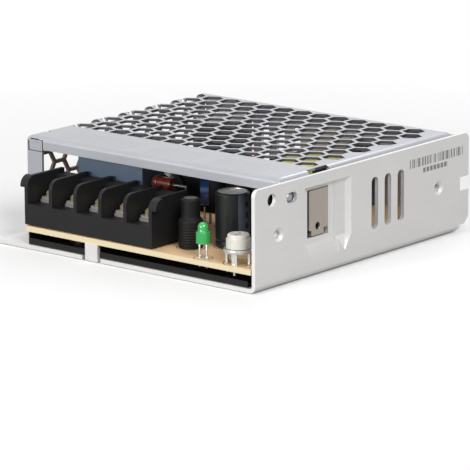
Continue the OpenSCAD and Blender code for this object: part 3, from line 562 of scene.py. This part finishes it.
@dataclass(frozen=True)
class Laminate:
    """Board laminate: tan solder-side lacquer over cream glass cloth, with fine weave and outlines."""

    name: str
    top: Colour
    edge: Colour
    outlines: tuple[tuple[Vector, float], ...] = ()
    ink: Colour = linear(96, 84, 68)

    def build(self) -> bpy.types.Material:
        """Makes the material."""
        graph = Graph(self.name)
        normal = graph.node("ShaderNodeSeparateXYZ", inputs={
            0: graph.node("ShaderNodeNewGeometry", output="Normal")}, output=2)
        flat = abs(normal) > 0.7
        x, y, _ = graph.axes()
        cloth = graph.maths("SINE", x * 5200.0) * graph.maths("SINE", y * 5200.0)
        cloud = graph.noise(160.0, 4.0)
        paler = tuple(min(1.0, part * 1.22) for part in self.top)
        face = graph.blend(graph.spread(cloud, -0.1, 1.0), self.top, paler)
        rings = [abs(graph.away(centre) - radius) < 0.13 * MM for centre, radius in self.outlines]
        printed = graph.blend(graph.greatest(*rings) * (normal > 0.7), face, self.ink) if rings else face
        return graph.surface(
            Base_Color=graph.blend(flat, self.edge, printed),
            Roughness=graph.spread(cloud, 0.38, 0.6), Specular_IOR_Level=0.45,
            Normal=graph.bump(cloth, 0.06, 0.00003))


class Finishes:
    """The finishes that several sub-assemblies share, each made once."""

    def __init__(self) -> None:
        """Makes every shared material."""
        lead_top = 10.1 * MM
        self.chassis = LabelledSheet("chassis_aluminium", linear(220, 219, 218), 1, 0.42, 0.5).build()
        self.spreader = SheetMetal("spreader_aluminium", linear(200, 202, 204), 2, 0.4, 0.7).build()
        self.cover = RuledSheet("cover_zinc_steel", linear(176, 178, 183), 0, 0.36, 0.7).build()
        self.clip = SheetMetal("clip_spring_steel", linear(186, 177, 168), 2, 0.34, 0.8).build()
        self.film = Plastic("insulating_film", linear(15, 16, 15), 0.42, 0.03, specular=0.3).build()
        self.block = Plastic("terminal_black", linear(24, 24, 25), 0.5, 0.16, specular=0.22).build()
        self.former = Plastic("former_black", linear(26, 26, 27), 0.5, 0.12, leads_below=6.9 * MM).build()
        self.package = Plastic("package_black", linear(30, 30, 32), 0.5, 0.2, leads_below=lead_top).build()
        self.chip = Plastic("chip_black", linear(28, 28, 30), 0.5, 0.2, leads_below=7.3 * MM).build()
        self.ferrite = Plastic("ferrite", linear(62, 62, 64), 0.6, 0.3).build()
        self.box = Plastic("capacitor_box", linear(78, 92, 108), 0.4, 0.08, leads_below=6.7 * MM).build()
        self.lamp = self._lamp_plastic()
        self.pale = Plastic("pale_nylon", linear(198, 196, 187), 0.42, 0.08).build()
        self.white = Plastic("white_package", linear(224, 222, 214), 0.45, 0.1, leads_below=7.3 * MM).build()
        self.green_dark = Plastic(
            "thermistor_coating", linear(28, 52, 44), 0.35, 0.2, 0.2, leads_below=9.0 * MM).build()
        self.blue = Plastic("blue_coating", linear(20, 48, 92), 0.3, 0.1, 0.4, leads_below=15.0 * MM).build()
        self.resistor = Plastic("resistor_coating", linear(196, 172, 126), 0.35, 0.05, 0.3).build()
        self.tape = Plastic("yellow_tape", linear(228, 224, 116), 0.26, 0.04, 0.3).build()
        self.tin = PlatedMetal("tinned_metal", linear(220, 219, 216), linear(180, 178, 172)).build()
        self.solder = PlatedMetal("solder", linear(216, 216, 216), linear(190, 190, 190), 0.18).build()
        self.screw = PlatedMetal("passivated_screw", linear(222, 205, 152), linear(190, 178, 150)).build()

    @staticmethod
    def _lamp_plastic() -> bpy.types.Material:
        """Makes the tinted clear plastic of the indicator lamp."""
        graph = Graph("green_lamp")
        cloud = graph.noise(300.0, 2.0)
        return graph.surface(
            Base_Color=graph.blend(cloud, linear(34, 150, 72), linear(66, 186, 100)),
            Roughness=graph.spread(cloud, 0.12, 0.22), Transmission_Weight=0.25,
            Coat_Weight=0.5, IOR=1.5)


# ---------------------------------------------------------------- modelling


class Shading(Enum):
    """How the faces of a finished piece are shaded."""

    FOLDS = 12.0
    SOFT_EDGES = 35.0
    ROUND = 60.0


class Bench:
    """Modelling steps that the sub-assemblies share. All sizes are in metres."""

    @staticmethod
    def only(piece: bpy.types.Object) -> None:
        """Selects one object and makes it active."""
        bpy.ops.object.select_all(action="DESELECT")
        piece.hide_viewport = False
        piece.select_set(True)
        bpy.context.view_layer.objects.active = piece

    @classmethod
    def edit(cls, piece: bpy.types.Object, *steps: Callable[[], object]) -> None:
        """Runs edit-mode steps on a whole mesh.

        Args:
            piece: The object to edit.
            *steps: Calls that each run one operator on what is selected.
        """
        cls.only(piece)
        bpy.ops.object.mode_set(mode="EDIT")
        bpy.ops.mesh.select_all(action="SELECT")
        for step in steps:
            step()
        bpy.ops.object.mode_set(mode="OBJECT")

    @classmethod
    def apply(cls, piece: bpy.types.Object, kind: str, **settings: object) -> None:
        """Adds one modifier with its settings and applies it."""
        cls.only(piece)
        modifier = piece.modifiers.new(kind.lower(), kind)
        for key, value in settings.items():
            setattr(modifier, key, value)
        bpy.ops.object.modifier_apply(modifier=modifier.name)

    @classmethod
    def shade(cls, piece: bpy.types.Object, shading: Shading) -> None:
        """Smooths the faces that meet at less than the shading's angle."""
        cls.only(piece)
        bpy.ops.object.shade_smooth_by_angle(angle=math.radians(shading.value))

    @staticmethod
    def box(node: str) -> tuple[Vector, Vector]:
        """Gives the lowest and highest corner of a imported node."""
        source = frame["nodes"][node]
        corners = [source.matrix_world @ Vector(corner) for corner in source.bound_box]
        return (Vector(min(corner[i] for corner in corners) for i in range(3)),
                Vector(max(corner[i] for corner in corners) for i in range(3)))

    @classmethod
    def middle(cls, node: str) -> Vector:
        """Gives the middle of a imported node's box."""
        low, high = cls.box(node)
        return (low + high) / 2

    @classmethod
    def recast(cls, node: str, name: str) -> bpy.types.Object:
        """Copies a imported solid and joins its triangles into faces.

        Args:
            node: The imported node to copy.
            name: The new piece's name.

        Returns:
            The new piece, with its own mesh.
        """
        source = frame["nodes"][node]
        cls.only(source)
        bpy.ops.object.duplicate()
        piece = bpy.context.active_object
        piece.name = name
        piece.data.name = name
        piece.parent = None
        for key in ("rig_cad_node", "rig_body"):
            del piece[key]
        cls.edit(
            piece,
            lambda: bpy.ops.mesh.remove_doubles(threshold=2e-6),
            lambda: bpy.ops.mesh.dissolve_limited(angle_limit=math.radians(0.5)),
        )
        return piece

    @classmethod
    def break_edges(cls, piece: bpy.types.Object, width: float, segments: int,
                    shading: Shading) -> None:
        """Bevels the sharp edges of a piece and evens its shading.

        Args:
            piece: The piece to finish.
            width: Width of the broken edge.
            segments: Facets across the broken edge.
            shading: Which of its faces run smoothly into each other.
        """
        cls.apply(piece, "BEVEL", width=width, segments=segments, limit_method="ANGLE",
                  angle_limit=math.radians(32), use_clamp_overlap=True)
        cls.shade(piece, shading)
        cls.apply(piece, "WEIGHTED_NORMAL", keep_sharp=True)

    @classmethod
    def cut(cls, piece: bpy.types.Object, cutter: bpy.types.Object) -> None:
        """Takes one solid away from another and removes it."""
        cls.apply(piece, "BOOLEAN", object=cutter, operation="DIFFERENCE", solver="EXACT")
        bpy.data.objects.remove(cutter)

    @classmethod
    def cylinder(cls, name: str, centre: Vector, radius: float, height: float,
                 sides: int = 32, axis: Vector = Vector((0, 0, 1)), up: str = "Y") -> bpy.types.Object:
        """Adds a closed cylinder with its place in its mesh."""
        bpy.ops.object.select_all(action="DESELECT")
        turn = axis.to_track_quat("Z", up).to_euler()
        bpy.ops.mesh.primitive_cylinder_add(
            vertices=sides, radius=radius, depth=height, location=centre, rotation=turn)
        return cls.settle(bpy.context.active_object, name)

    @classmethod
    def block(cls, name: str, low: Vector, high: Vector, bevel: float = 0.0) -> bpy.types.Object:
        """Adds a box between two corners, with broken edges when a bevel is given."""
        bpy.ops.object.select_all(action="DESELECT")
        bpy.ops.mesh.primitive_cube_add(size=1.0, location=(low + high) / 2)
        piece = bpy.context.active_object
        piece.scale = high - low
        cls.settle(piece, name)
        if bevel > 0:
            cls.apply(piece, "BEVEL", width=bevel, segments=2)
        return piece

    @classmethod
    def ring(cls, name: str, centre: Vector, radius: float, wire: float,
             axis: Vector = Vector((0, 0, 1)), facets: tuple[int, int] = (40, 8)) -> bpy.types.Object:
        """Adds a ring of round wire."""
        bpy.ops.object.select_all(action="DESELECT")
        turn = axis.to_track_quat("Z", "Y").to_euler()
        bpy.ops.mesh.primitive_torus_add(
            major_radius=radius, minor_radius=wire, major_segments=facets[0],
            minor_segments=facets[1], location=centre, rotation=turn)
        piece = cls.settle(bpy.context.active_object, name)
        cls.shade(piece, Shading.ROUND)
        return piece

    @classmethod
    def lathe(cls, name: str, centre: Vector, outline: Sequence[tuple[float, float]],
              steps: int = 48) -> bpy.types.Object:
        """Spins an outline of radius and height about a vertical axis.

        Args:
            name: The new piece's name.
            centre: The foot of the axis.
            outline: Radius and height of each point, from the foot up.
            steps: Facets round the axis.

        Returns:
            The spun, smooth piece, open at its ends.
        """
        bpy.ops.object.select_all(action="DESELECT")
        mesh = bpy.data.meshes.new(name)
        points = [centre + Vector((radius, 0, height)) for radius, height in outline]
        mesh.from_pydata(points, [(i, i + 1) for i in range(len(points) - 1)], [])
        piece = bpy.data.objects.new(name, mesh)
        bpy.context.scene.collection.objects.link(piece)
        cls.edit(
            piece,
            lambda: bpy.ops.mesh.spin(steps=steps, angle=math.tau, center=centre, axis=(0, 0, 1)),
            lambda: bpy.ops.mesh.select_all(action="SELECT"),
            lambda: bpy.ops.mesh.remove_doubles(threshold=2e-6),
            lambda: bpy.ops.mesh.normals_make_consistent(inside=False),
        )
        cls.shade(piece, Shading.SOFT_EDGES)
        return piece

    @classmethod
    def settle(cls, piece: bpy.types.Object, name: str) -> bpy.types.Object:
        """Names a piece and puts its place, turn and size into its mesh."""
        piece.name = name
        piece.data.name = name
        cls.only(piece)
        bpy.ops.object.transform_apply(location=True, rotation=True, scale=True)
        return piece

    @classmethod
    def join(cls, name: str, pieces: Sequence[bpy.types.Object]) -> bpy.types.Object:
        """Joins pieces that are one part into one object."""
        cls.only(pieces[0])
        for piece in pieces:
            piece.select_set(True)
        bpy.ops.object.join()
        pieces[0].name = name
        pieces[0].data.name = name
        return pieces[0]


@dataclass
class SubAssembly:
    """A part of the supply that dresses its own nodes."""

    title: ClassVar[str] = "sub-assembly"
    shading: ClassVar[Shading] = Shading.SOFT_EDGES

    finishes: Finishes
    made: list[str] = field(default_factory=list)

    def build(self) -> None:
        """Makes and dresses the sub-assembly."""
        raise NotImplementedError

    def report(self) -> None:
        """Logs what was made."""
        LOG.info("%s: %s", self.title, ", ".join(self.made))

    def dress(self, piece: bpy.types.Object, material: bpy.types.Material) -> None:
        """Gives a piece one material all over."""
        piece.data.materials.clear()
        piece.data.materials.append(material)

    def renew(self, node: str, material: bpy.types.Material, bevel: float, body: str = "case",
              segments: int = 2) -> bpy.types.Object:
        """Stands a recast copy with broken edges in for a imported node.

        Args:
            node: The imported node.
            material: The finish of the copy.
            bevel: Width of the broken edges.
            body: The body that it rides on.
            segments: Facets across a broken edge.

        Returns:
            The new piece.
        """
        piece = Bench.recast(node, f"{node}_finished")
        self.rework(piece)
        Bench.break_edges(piece, bevel, segments, self.shading)
        self.dress(piece, material)
        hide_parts(node)
        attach(piece, body)
        self.made.append(piece.name)
        return piece

    def rework(self, piece: bpy.types.Object) -> None:
        """Changes a copy before its edges are broken; most pieces stay as they are."""

    def add(self, piece: bpy.types.Object, material: bpy.types.Material, body: str = "case") -> None:
        """Dresses a new piece and lets it ride."""
        self.dress(piece, material)
        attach(piece, body)
        self.made.append(piece.name)

    def solder(self, name: str, places: Sequence[Vector], radius: float, height: float) -> None:
        """Adds a fillet of solder round each lead at its foot.

        Args:
            name: The name of the joined piece.
            places: The foot of each lead, on the board.
            radius: Radius of a fillet at the board.
            height: Height of a fillet.
        """
        outline = [(radius, 0.0), (radius * 0.72, height * 0.3), (radius * 0.5, height * 0.7),
                   (0.32 * MM, height)]
        self.add(Bench.join(name, [
            Bench.lathe(f"{name}_{number}", place, outline, 24) for number, place in enumerate(places)
        ]), self.finishes.solder)


# ---------------------------------------------------------------- sub-assemblies


@dataclass
class Chassis(SubAssembly):
    """The folded aluminium sheet with its stamped pocket, slots and tapped holes."""

    title: ClassVar[str] = "chassis"
    shading: ClassVar[Shading] = Shading.FOLDS

    edge: float = 0.12 * MM
    side_holes: tuple[tuple[float, float], ...] = ((-39.2, 15.0), (34.8, 15.0))
    base_holes: tuple[tuple[float, float], ...] = ((-28.5, -36.0), (-28.5, 36.0))
    thread_r: float = 1.25 * MM
    thread_wire: float = 0.11 * MM
    thread_pitch: float = 0.5 * MM
    thread_from: float = 0.75 * MM
    thread_turns: int = 3

    def build(self) -> None:
        """Dresses the sheet and cuts the threads."""
        self.renew("chassis", self.finishes.chassis, self.edge)
        self.renew("board_standoffs", self.finishes.tin, 0.1 * MM)
        self.renew("insulating_film", self.finishes.film, 0.05 * MM)
        right = Bench.box("chassis")[1].x
        for number, (y, z) in enumerate(self.side_holes, 1):
            self._thread(f"side_thread_{number}", Vector((right, y * MM, z * MM)), Vector((-1, 0, 0)))
        for number, (x, y) in enumerate(self.base_holes, 1):
            self._thread(f"base_thread_{number}", Vector((x * MM, y * MM, 0)), Vector((0, 0, 1)))

    def _thread(self, name: str, mouth: Vector, inward: Vector) -> None:
        """Lines a tapped hole with the crests of its thread."""
        self.add(Bench.join(name, [
            Bench.ring(f"{name}_{turn}", mouth + inward * (self.thread_from + turn * self.thread_pitch),
                       self.thread_r, self.thread_wire, inward, (32, 6))
            for turn in range(self.thread_turns)
        ]), self.finishes.chassis)


@dataclass
class Cover(SubAssembly):
    """The folded cover of hexagon mesh."""

    title: ClassVar[str] = "cover"

    edge: float = 0.1 * MM
    sheet: float = 0.8 * MM
    flats: float = 5.9 * MM
    pitch: float = 7.0 * MM
    first_row: float = -17.1 * MM
    rows: tuple[int, int] = (-2, 9)
    heights: tuple[float, ...] = (27.0 * MM, 20.0 * MM, 13.0 * MM, 6.0 * MM)
    lowest: float = 4.0 * MM
    wall: tuple[float, float] = (2.4 * MM, 27.9 * MM)
    # Width, foot and head of the front left post
    post: tuple[float, float, float] = (5.8 * MM, 25.5 * MM, 28.9 * MM)

    def build(self) -> None:
        """Dresses the cover."""
        self.renew("mesh_cover", self.finishes.cover, self.edge, segments=1)

    def rework(self, piece: bpy.types.Object) -> None:
        """Sets a fresh panel into the left wall, its hexagons flat to flat, and carries the post up."""
        left = Bench.box("mesh_cover")[0].x
        step, radius = self.pitch * math.sqrt(3) / 2, self.flats / math.sqrt(3)
        margin = radius + 0.35 * MM
        low = Vector((left, self.first_row + self.rows[0] * step - margin, self.wall[0]))
        high = Vector((left + self.sheet, self.first_row + self.rows[1] * step + margin, self.wall[1]))
        panel = Bench.block("left_panel", low, high)
        Bench.cut(panel, Bench.join("left_cells", [
            Bench.cylinder(f"cell_{row}_{place}", Vector((left, self.first_row + row * step, height)),
                           radius, 6 * self.sheet, 6, Vector((1, 0, 0)), "X")
            for row in range(self.rows[0], self.rows[1] + 1)
            for place, height in enumerate(self._heights(row))
        ]))
        aside = Vector((0.1 * MM, 0, 0))
        Bench.cut(piece, Bench.block("left_opening", low - aside, high + aside))
        front = Bench.box("mesh_cover")[0].y
        width, foot, head = self.post
        post = Bench.block("post_head", Vector((left + self.sheet / 2, front, foot)),
                           Vector((left + width, front + self.sheet, head)))
        Bench.join(piece.name, [piece, panel, post])

    def _heights(self, row: int) -> list[float]:
        """Gives the heights of the cells in one row; alternate rows lie half a pitch lower."""
        shift = self.pitch / 2 if row % 2 else 0.0
        return [height - shift for height in self.heights if height - shift > self.lowest]


@dataclass
class Board(SubAssembly):
    """The circuit board and its screws."""

    title: ClassVar[str] = "board"

    edge: float = 0.06 * MM
    top: Colour = linear(214, 180, 138)
    rim: Colour = linear(206, 192, 160)
    outlined: tuple[tuple[str, float], ...] = (
        ("status_lamp", 2.7), ("trimmer_frame", 4.3), ("front_choke", 4.1), ("output_capacitor_front", 5.4),
        ("output_capacitor_rear", 5.4), ("bulk_capacitor", 9.6))

    def build(self) -> None:
        """Dresses the board, with a ring printed round each round part."""
        outlines = tuple((Bench.middle(node), radius * MM) for node, radius in self.outlined)
        laminate = Laminate("board_laminate", self.top, self.rim, outlines).build()
        self.renew("circuit_board", laminate, self.edge)
        self.renew("board_screws", self.finishes.tin, 0.08 * MM)


@dataclass
class Terminals(SubAssembly):
    """The terminal block with its plates, clamp washers and screws."""

    title: ClassVar[str] = "terminals"

    count: int = 5
    block_edge: float = 0.2 * MM
    metal_edge: float = 0.08 * MM

    def build(self) -> None:
        """Dresses the block and each terminal."""
        self.renew("terminal_block", self.finishes.block, self.block_edge)
        self.renew("terminal_plates", self.finishes.tin, self.metal_edge)
        for number in range(1, self.count + 1):
            self.renew(f"clamp_washer_{number}", self.finishes.tin, self.metal_edge, f"clamp_{number}")
            self.renew(f"terminal_screw_{number}", self.finishes.screw, 0.1 * MM, f"screw_{number}")


@dataclass
class Indicators(SubAssembly):
    """The lamp and the voltage trimmer."""

    title: ClassVar[str] = "indicators"

    board_top: float = 6.6 * MM
    lead_span: float = 1.27 * MM
    fillet: tuple[float, float] = (0.8 * MM, 0.5 * MM)

    def build(self) -> None:
        """Dresses the lamp and the trimmer, and solders the lamp's legs."""
        self.renew("status_lamp", self.finishes.lamp, 0.15 * MM)
        self.renew("lamp_legs", self.finishes.tin, 0.03 * MM)
        self.renew("trimmer_frame", self.finishes.tin, 0.08 * MM)
        self.renew("trimmer_knob", self.finishes.pale, 0.15 * MM, "knob")
        foot = Bench.middle("lamp_legs")
        foot.z = self.board_top
        offsets = (Vector((-self.lead_span, 0, 0)), Vector((self.lead_span, 0, 0)))
        self.solder("lamp_solder", [foot + offset for offset in offsets], *self.fillet)


@dataclass
class Capacitors(SubAssembly):
    """The electrolytic and film capacitors."""

    title: ClassVar[str] = "capacitors"

    cans: tuple[str, ...] = ("output_capacitor_front", "output_capacitor_rear", "bulk_capacitor")
    edge: float = 0.1 * MM

    def build(self) -> None:
        """Dresses the capacitors."""
        for node in self.cans:
            low, high = Bench.box(node)
            sleeve = CanSleeve(f"{node}_sleeve", (low + high) / 2, (high.x - low.x) / 2, high.z)
            self.renew(node, sleeve.build(), self.edge)
        self.renew("filter_capacitor", self.finishes.box, 0.3 * MM)


@dataclass
class WoundParts(SubAssembly):
    """The chokes and the transformer."""

    title: ClassVar[str] = "wound parts"

    rib_share: float = 0.5
    wire_pitch: float = 0.7 * MM
    fan_pitch: float = math.tau / 30
    ring_lift: float = 15.1 * MM

    def build(self) -> None:
        """Dresses the cores and windings."""
        low, high = Bench.box("front_choke")
        ribs = low.z + (high.z - low.z) * self.rib_share
        drum = DrumSleeve("drum_sleeve", (low + high) / 2, high.z, ribs)
        self.renew("front_choke", drum.build(), 0.1 * MM)
        ring = Bench.middle("output_choke")
        ring.z = self.ring_lift
        fanned = Winding("fanned_wire", Lay.FANNED, ring, self.fan_pitch)
        self.renew("output_choke", fanned.build(), 0.1 * MM)
        stacked = Winding("stacked_wire", Lay.STACKED, ring, self.wire_pitch)
        self.renew("filter_choke_coils", stacked.build(), 0.2 * MM)
        self.renew("filter_choke_core", self.finishes.ferrite, 0.25 * MM)
        self.renew("transformer_core", self.finishes.ferrite, 0.3 * MM)
        self.renew("transformer_bobbin", self.finishes.former, 0.12 * MM)
        self.renew("transformer_winding", self.finishes.tape, 0.15 * MM)


@dataclass
class SmallParts(SubAssembly):
    """The power devices and the small parts of the board."""

    title: ClassVar[str] = "small parts"

    edge: float = 0.12 * MM
    fuse_colour: Colour = linear(96, 38, 30)
    fuse_drop: float = 2.1 * MM

    def build(self) -> None:
        """Dresses each device."""
        finishes = self.finishes
        low, high = Bench.box("input_fuse")
        line = Vector((0, (low.y + high.y) / 2, high.z - self.fuse_drop))
        fuse = Plastic("brown_coating", self.fuse_colour, 0.25, 0.04, 0.5,
                       leads_below=high.z - 2 * self.fuse_drop - 0.05 * MM, lead_line=line)
        self.renew("input_fuse", fuse.build(), 0.1 * MM)
        self.renew("inrush_thermistor", finishes.green_dark, 0.4 * MM, segments=3)
        self.renew("suppressor_disc", finishes.blue, 0.5 * MM, segments=3)
        self.renew("bridge_rectifier", finishes.package, 0.2 * MM)
        self.renew("output_diode", finishes.package, 0.15 * MM)
        self.renew("spring_clip", finishes.clip, 0.1 * MM)
        self.renew("switching_transistor", finishes.package, 0.15 * MM)
        self.renew("heat_spreader", finishes.spreader, 0.15 * MM)
        self.renew("control_chip", finishes.chip, self.edge)
        self.renew("optocoupler", finishes.white, self.edge)
        self.renew("board_resistors", finishes.resistor, 0.1 * MM)


# ---------------------------------------------------------------- studio


@dataclass
class Studio:
    """A pale floor, plain light and the camera."""

    azimuth: float = 39.806
    elevation: float = 13.655
    roll: float = -0.306
    distance: float = 1.0945
    lens: float = 285.05
    aim: Vector = field(default_factory=lambda: Vector((-7.5, 0.5, 15.0)) * MM)
    offset: tuple[float, float] = (-5.626 * MM, 15.621 * MM)
    sky: float = 0.36
    floor_white: float = 0.8
    floor_bounce: float = 0.5
    floor_glow: float = 0.03
    # Distance at which the floor starts to fade, and the width of the fade
    floor_fade: tuple[float, float] = (0.1, 0.14)
    lamps: tuple[tuple[str, tuple[float, float, float], float, float], ...] = (
        ("front", (-0.1, -1.1, 0.25), 0.5, 9.0),
        ("side", (0.85, -0.4, 0.75), 0.5, 9.5),
        ("rear", (-0.3, 0.8, 0.8), 0.5, 2.0),
        ("top", (-0.15, 0.0, 1.1), 0.7, 2.6),
    )

    def build(self) -> None:
        """Builds the floor, the light and the camera."""
        self._floor()
        self._light()
        self._camera()
        bpy.context.scene.view_settings.view_transform = "Standard"

    def _floor(self) -> None:
        """Lays a wide pale floor just under the base, which fades to plain white away from it."""
        bpy.ops.object.select_all(action="DESELECT")
        bpy.ops.mesh.primitive_plane_add(size=6.0, location=(0, 0, -0.0002))
        floor = bpy.context.active_object
        floor.name = "studio_floor"
        graph = Graph("studio_floor")
        seen = graph.node("ShaderNodeLightPath", output="Is Camera Ray")
        matt, dull = (
            graph.node("ShaderNodeBsdfDiffuse", inputs={"Color": (level, level, level, 1.0)})
            for level in (self.floor_white, self.floor_bounce))
        glow, blank = (
            graph.node("ShaderNodeEmission", inputs={"Color": (1.0, 1.0, 1.0, 1.0), "Strength": strength})
            for strength in (self.floor_glow, 1.0))
        both = graph.node("ShaderNodeAddShader", inputs={0: matt, 1: glow})
        start, width = self.floor_fade
        far = graph.maths("MINIMUM", graph.away(Vector()) / width - start / width, 1.0)
        shown = graph.node("ShaderNodeMixShader", inputs={0: far, 1: both, 2: blank})
        graph.node_out(graph.node("ShaderNodeMixShader", inputs={0: seen, 1: dull, 2: shown}))
        floor.data.materials.append(graph.material)

    @staticmethod
    def _direct(graph: Graph) -> Signal:
        """Gives one on camera, mirror and glass rays, nought on the rays that only light."""
        names = ("Is Camera Ray", "Is Glossy Ray", "Is Transmission Ray")
        return graph.greatest(*(graph.node("ShaderNodeLightPath", output=name) for name in names))

    def _light(self) -> None:
        """Sets an even sky and three soft lamps."""
        world = bpy.data.worlds.new("studio")
        bpy.context.scene.world = world
        world.use_nodes = True
        graph = Graph("studio_sky", world.node_tree)
        seen = self._direct(graph)
        strength = graph.spread(seen, self.sky, 1.0)
        sky = graph.node("ShaderNodeBackground", inputs={"Color": (1.0, 1.0, 1.0, 1.0), "Strength": strength})
        graph.node_out(sky, "ShaderNodeOutputWorld")
        for name, place, size, power in self.lamps:
            self._lamp(name, Vector(place), size, power)

    @staticmethod
    def _lamp(name: str, place: Vector, size: float, power: float) -> None:
        """Hangs one square soft lamp that looks at the object."""
        lamp = bpy.data.lights.new(name, "AREA")
        lamp.size = size
        lamp.energy = power
        holder = bpy.data.objects.new(name, lamp)
        holder.location = place
        holder.rotation_euler = (-place).to_track_quat("-Z", "Y").to_euler()
        bpy.context.scene.collection.objects.link(holder)

    def _camera(self) -> None:
        """Sets the camera at the viewing angle."""
        turn, rise, tilt = (math.radians(v) for v in (self.azimuth, self.elevation, self.roll))
        back = Vector((math.sin(turn) * math.cos(rise), -math.cos(turn) * math.cos(rise), math.sin(rise)))
        level = Vector((math.cos(turn), math.sin(turn), 0))
        upright = back.cross(level)
        right = level * math.cos(tilt) + upright * math.sin(tilt)
        top = upright * math.cos(tilt) - level * math.sin(tilt)
        place = self.aim + back * self.distance - right * self.offset[0] - top * self.offset[1]
        camera = bpy.data.cameras.new("camera")
        camera.lens = self.lens
        camera.clip_start = 0.01
        holder = bpy.data.objects.new("camera", camera)
        holder.matrix_world = Matrix.Translation(place) @ Matrix((right, top, back)).transposed().to_4x4()
        bpy.context.scene.collection.objects.link(holder)
        bpy.context.scene.camera = holder


def main() -> None:
    """Builds the supply and its studio."""
    logging.basicConfig(level=logging.INFO, format="%(message)s")
    finishes = Finishes()
    parts = (Chassis, Cover, Board, Terminals, Indicators, Capacitors, WoundParts, SmallParts)
    for part in parts:
        assembly = part(finishes)
        assembly.build()
        assembly.report()
    Studio().build()


if __name__ == "__main__":
    main()
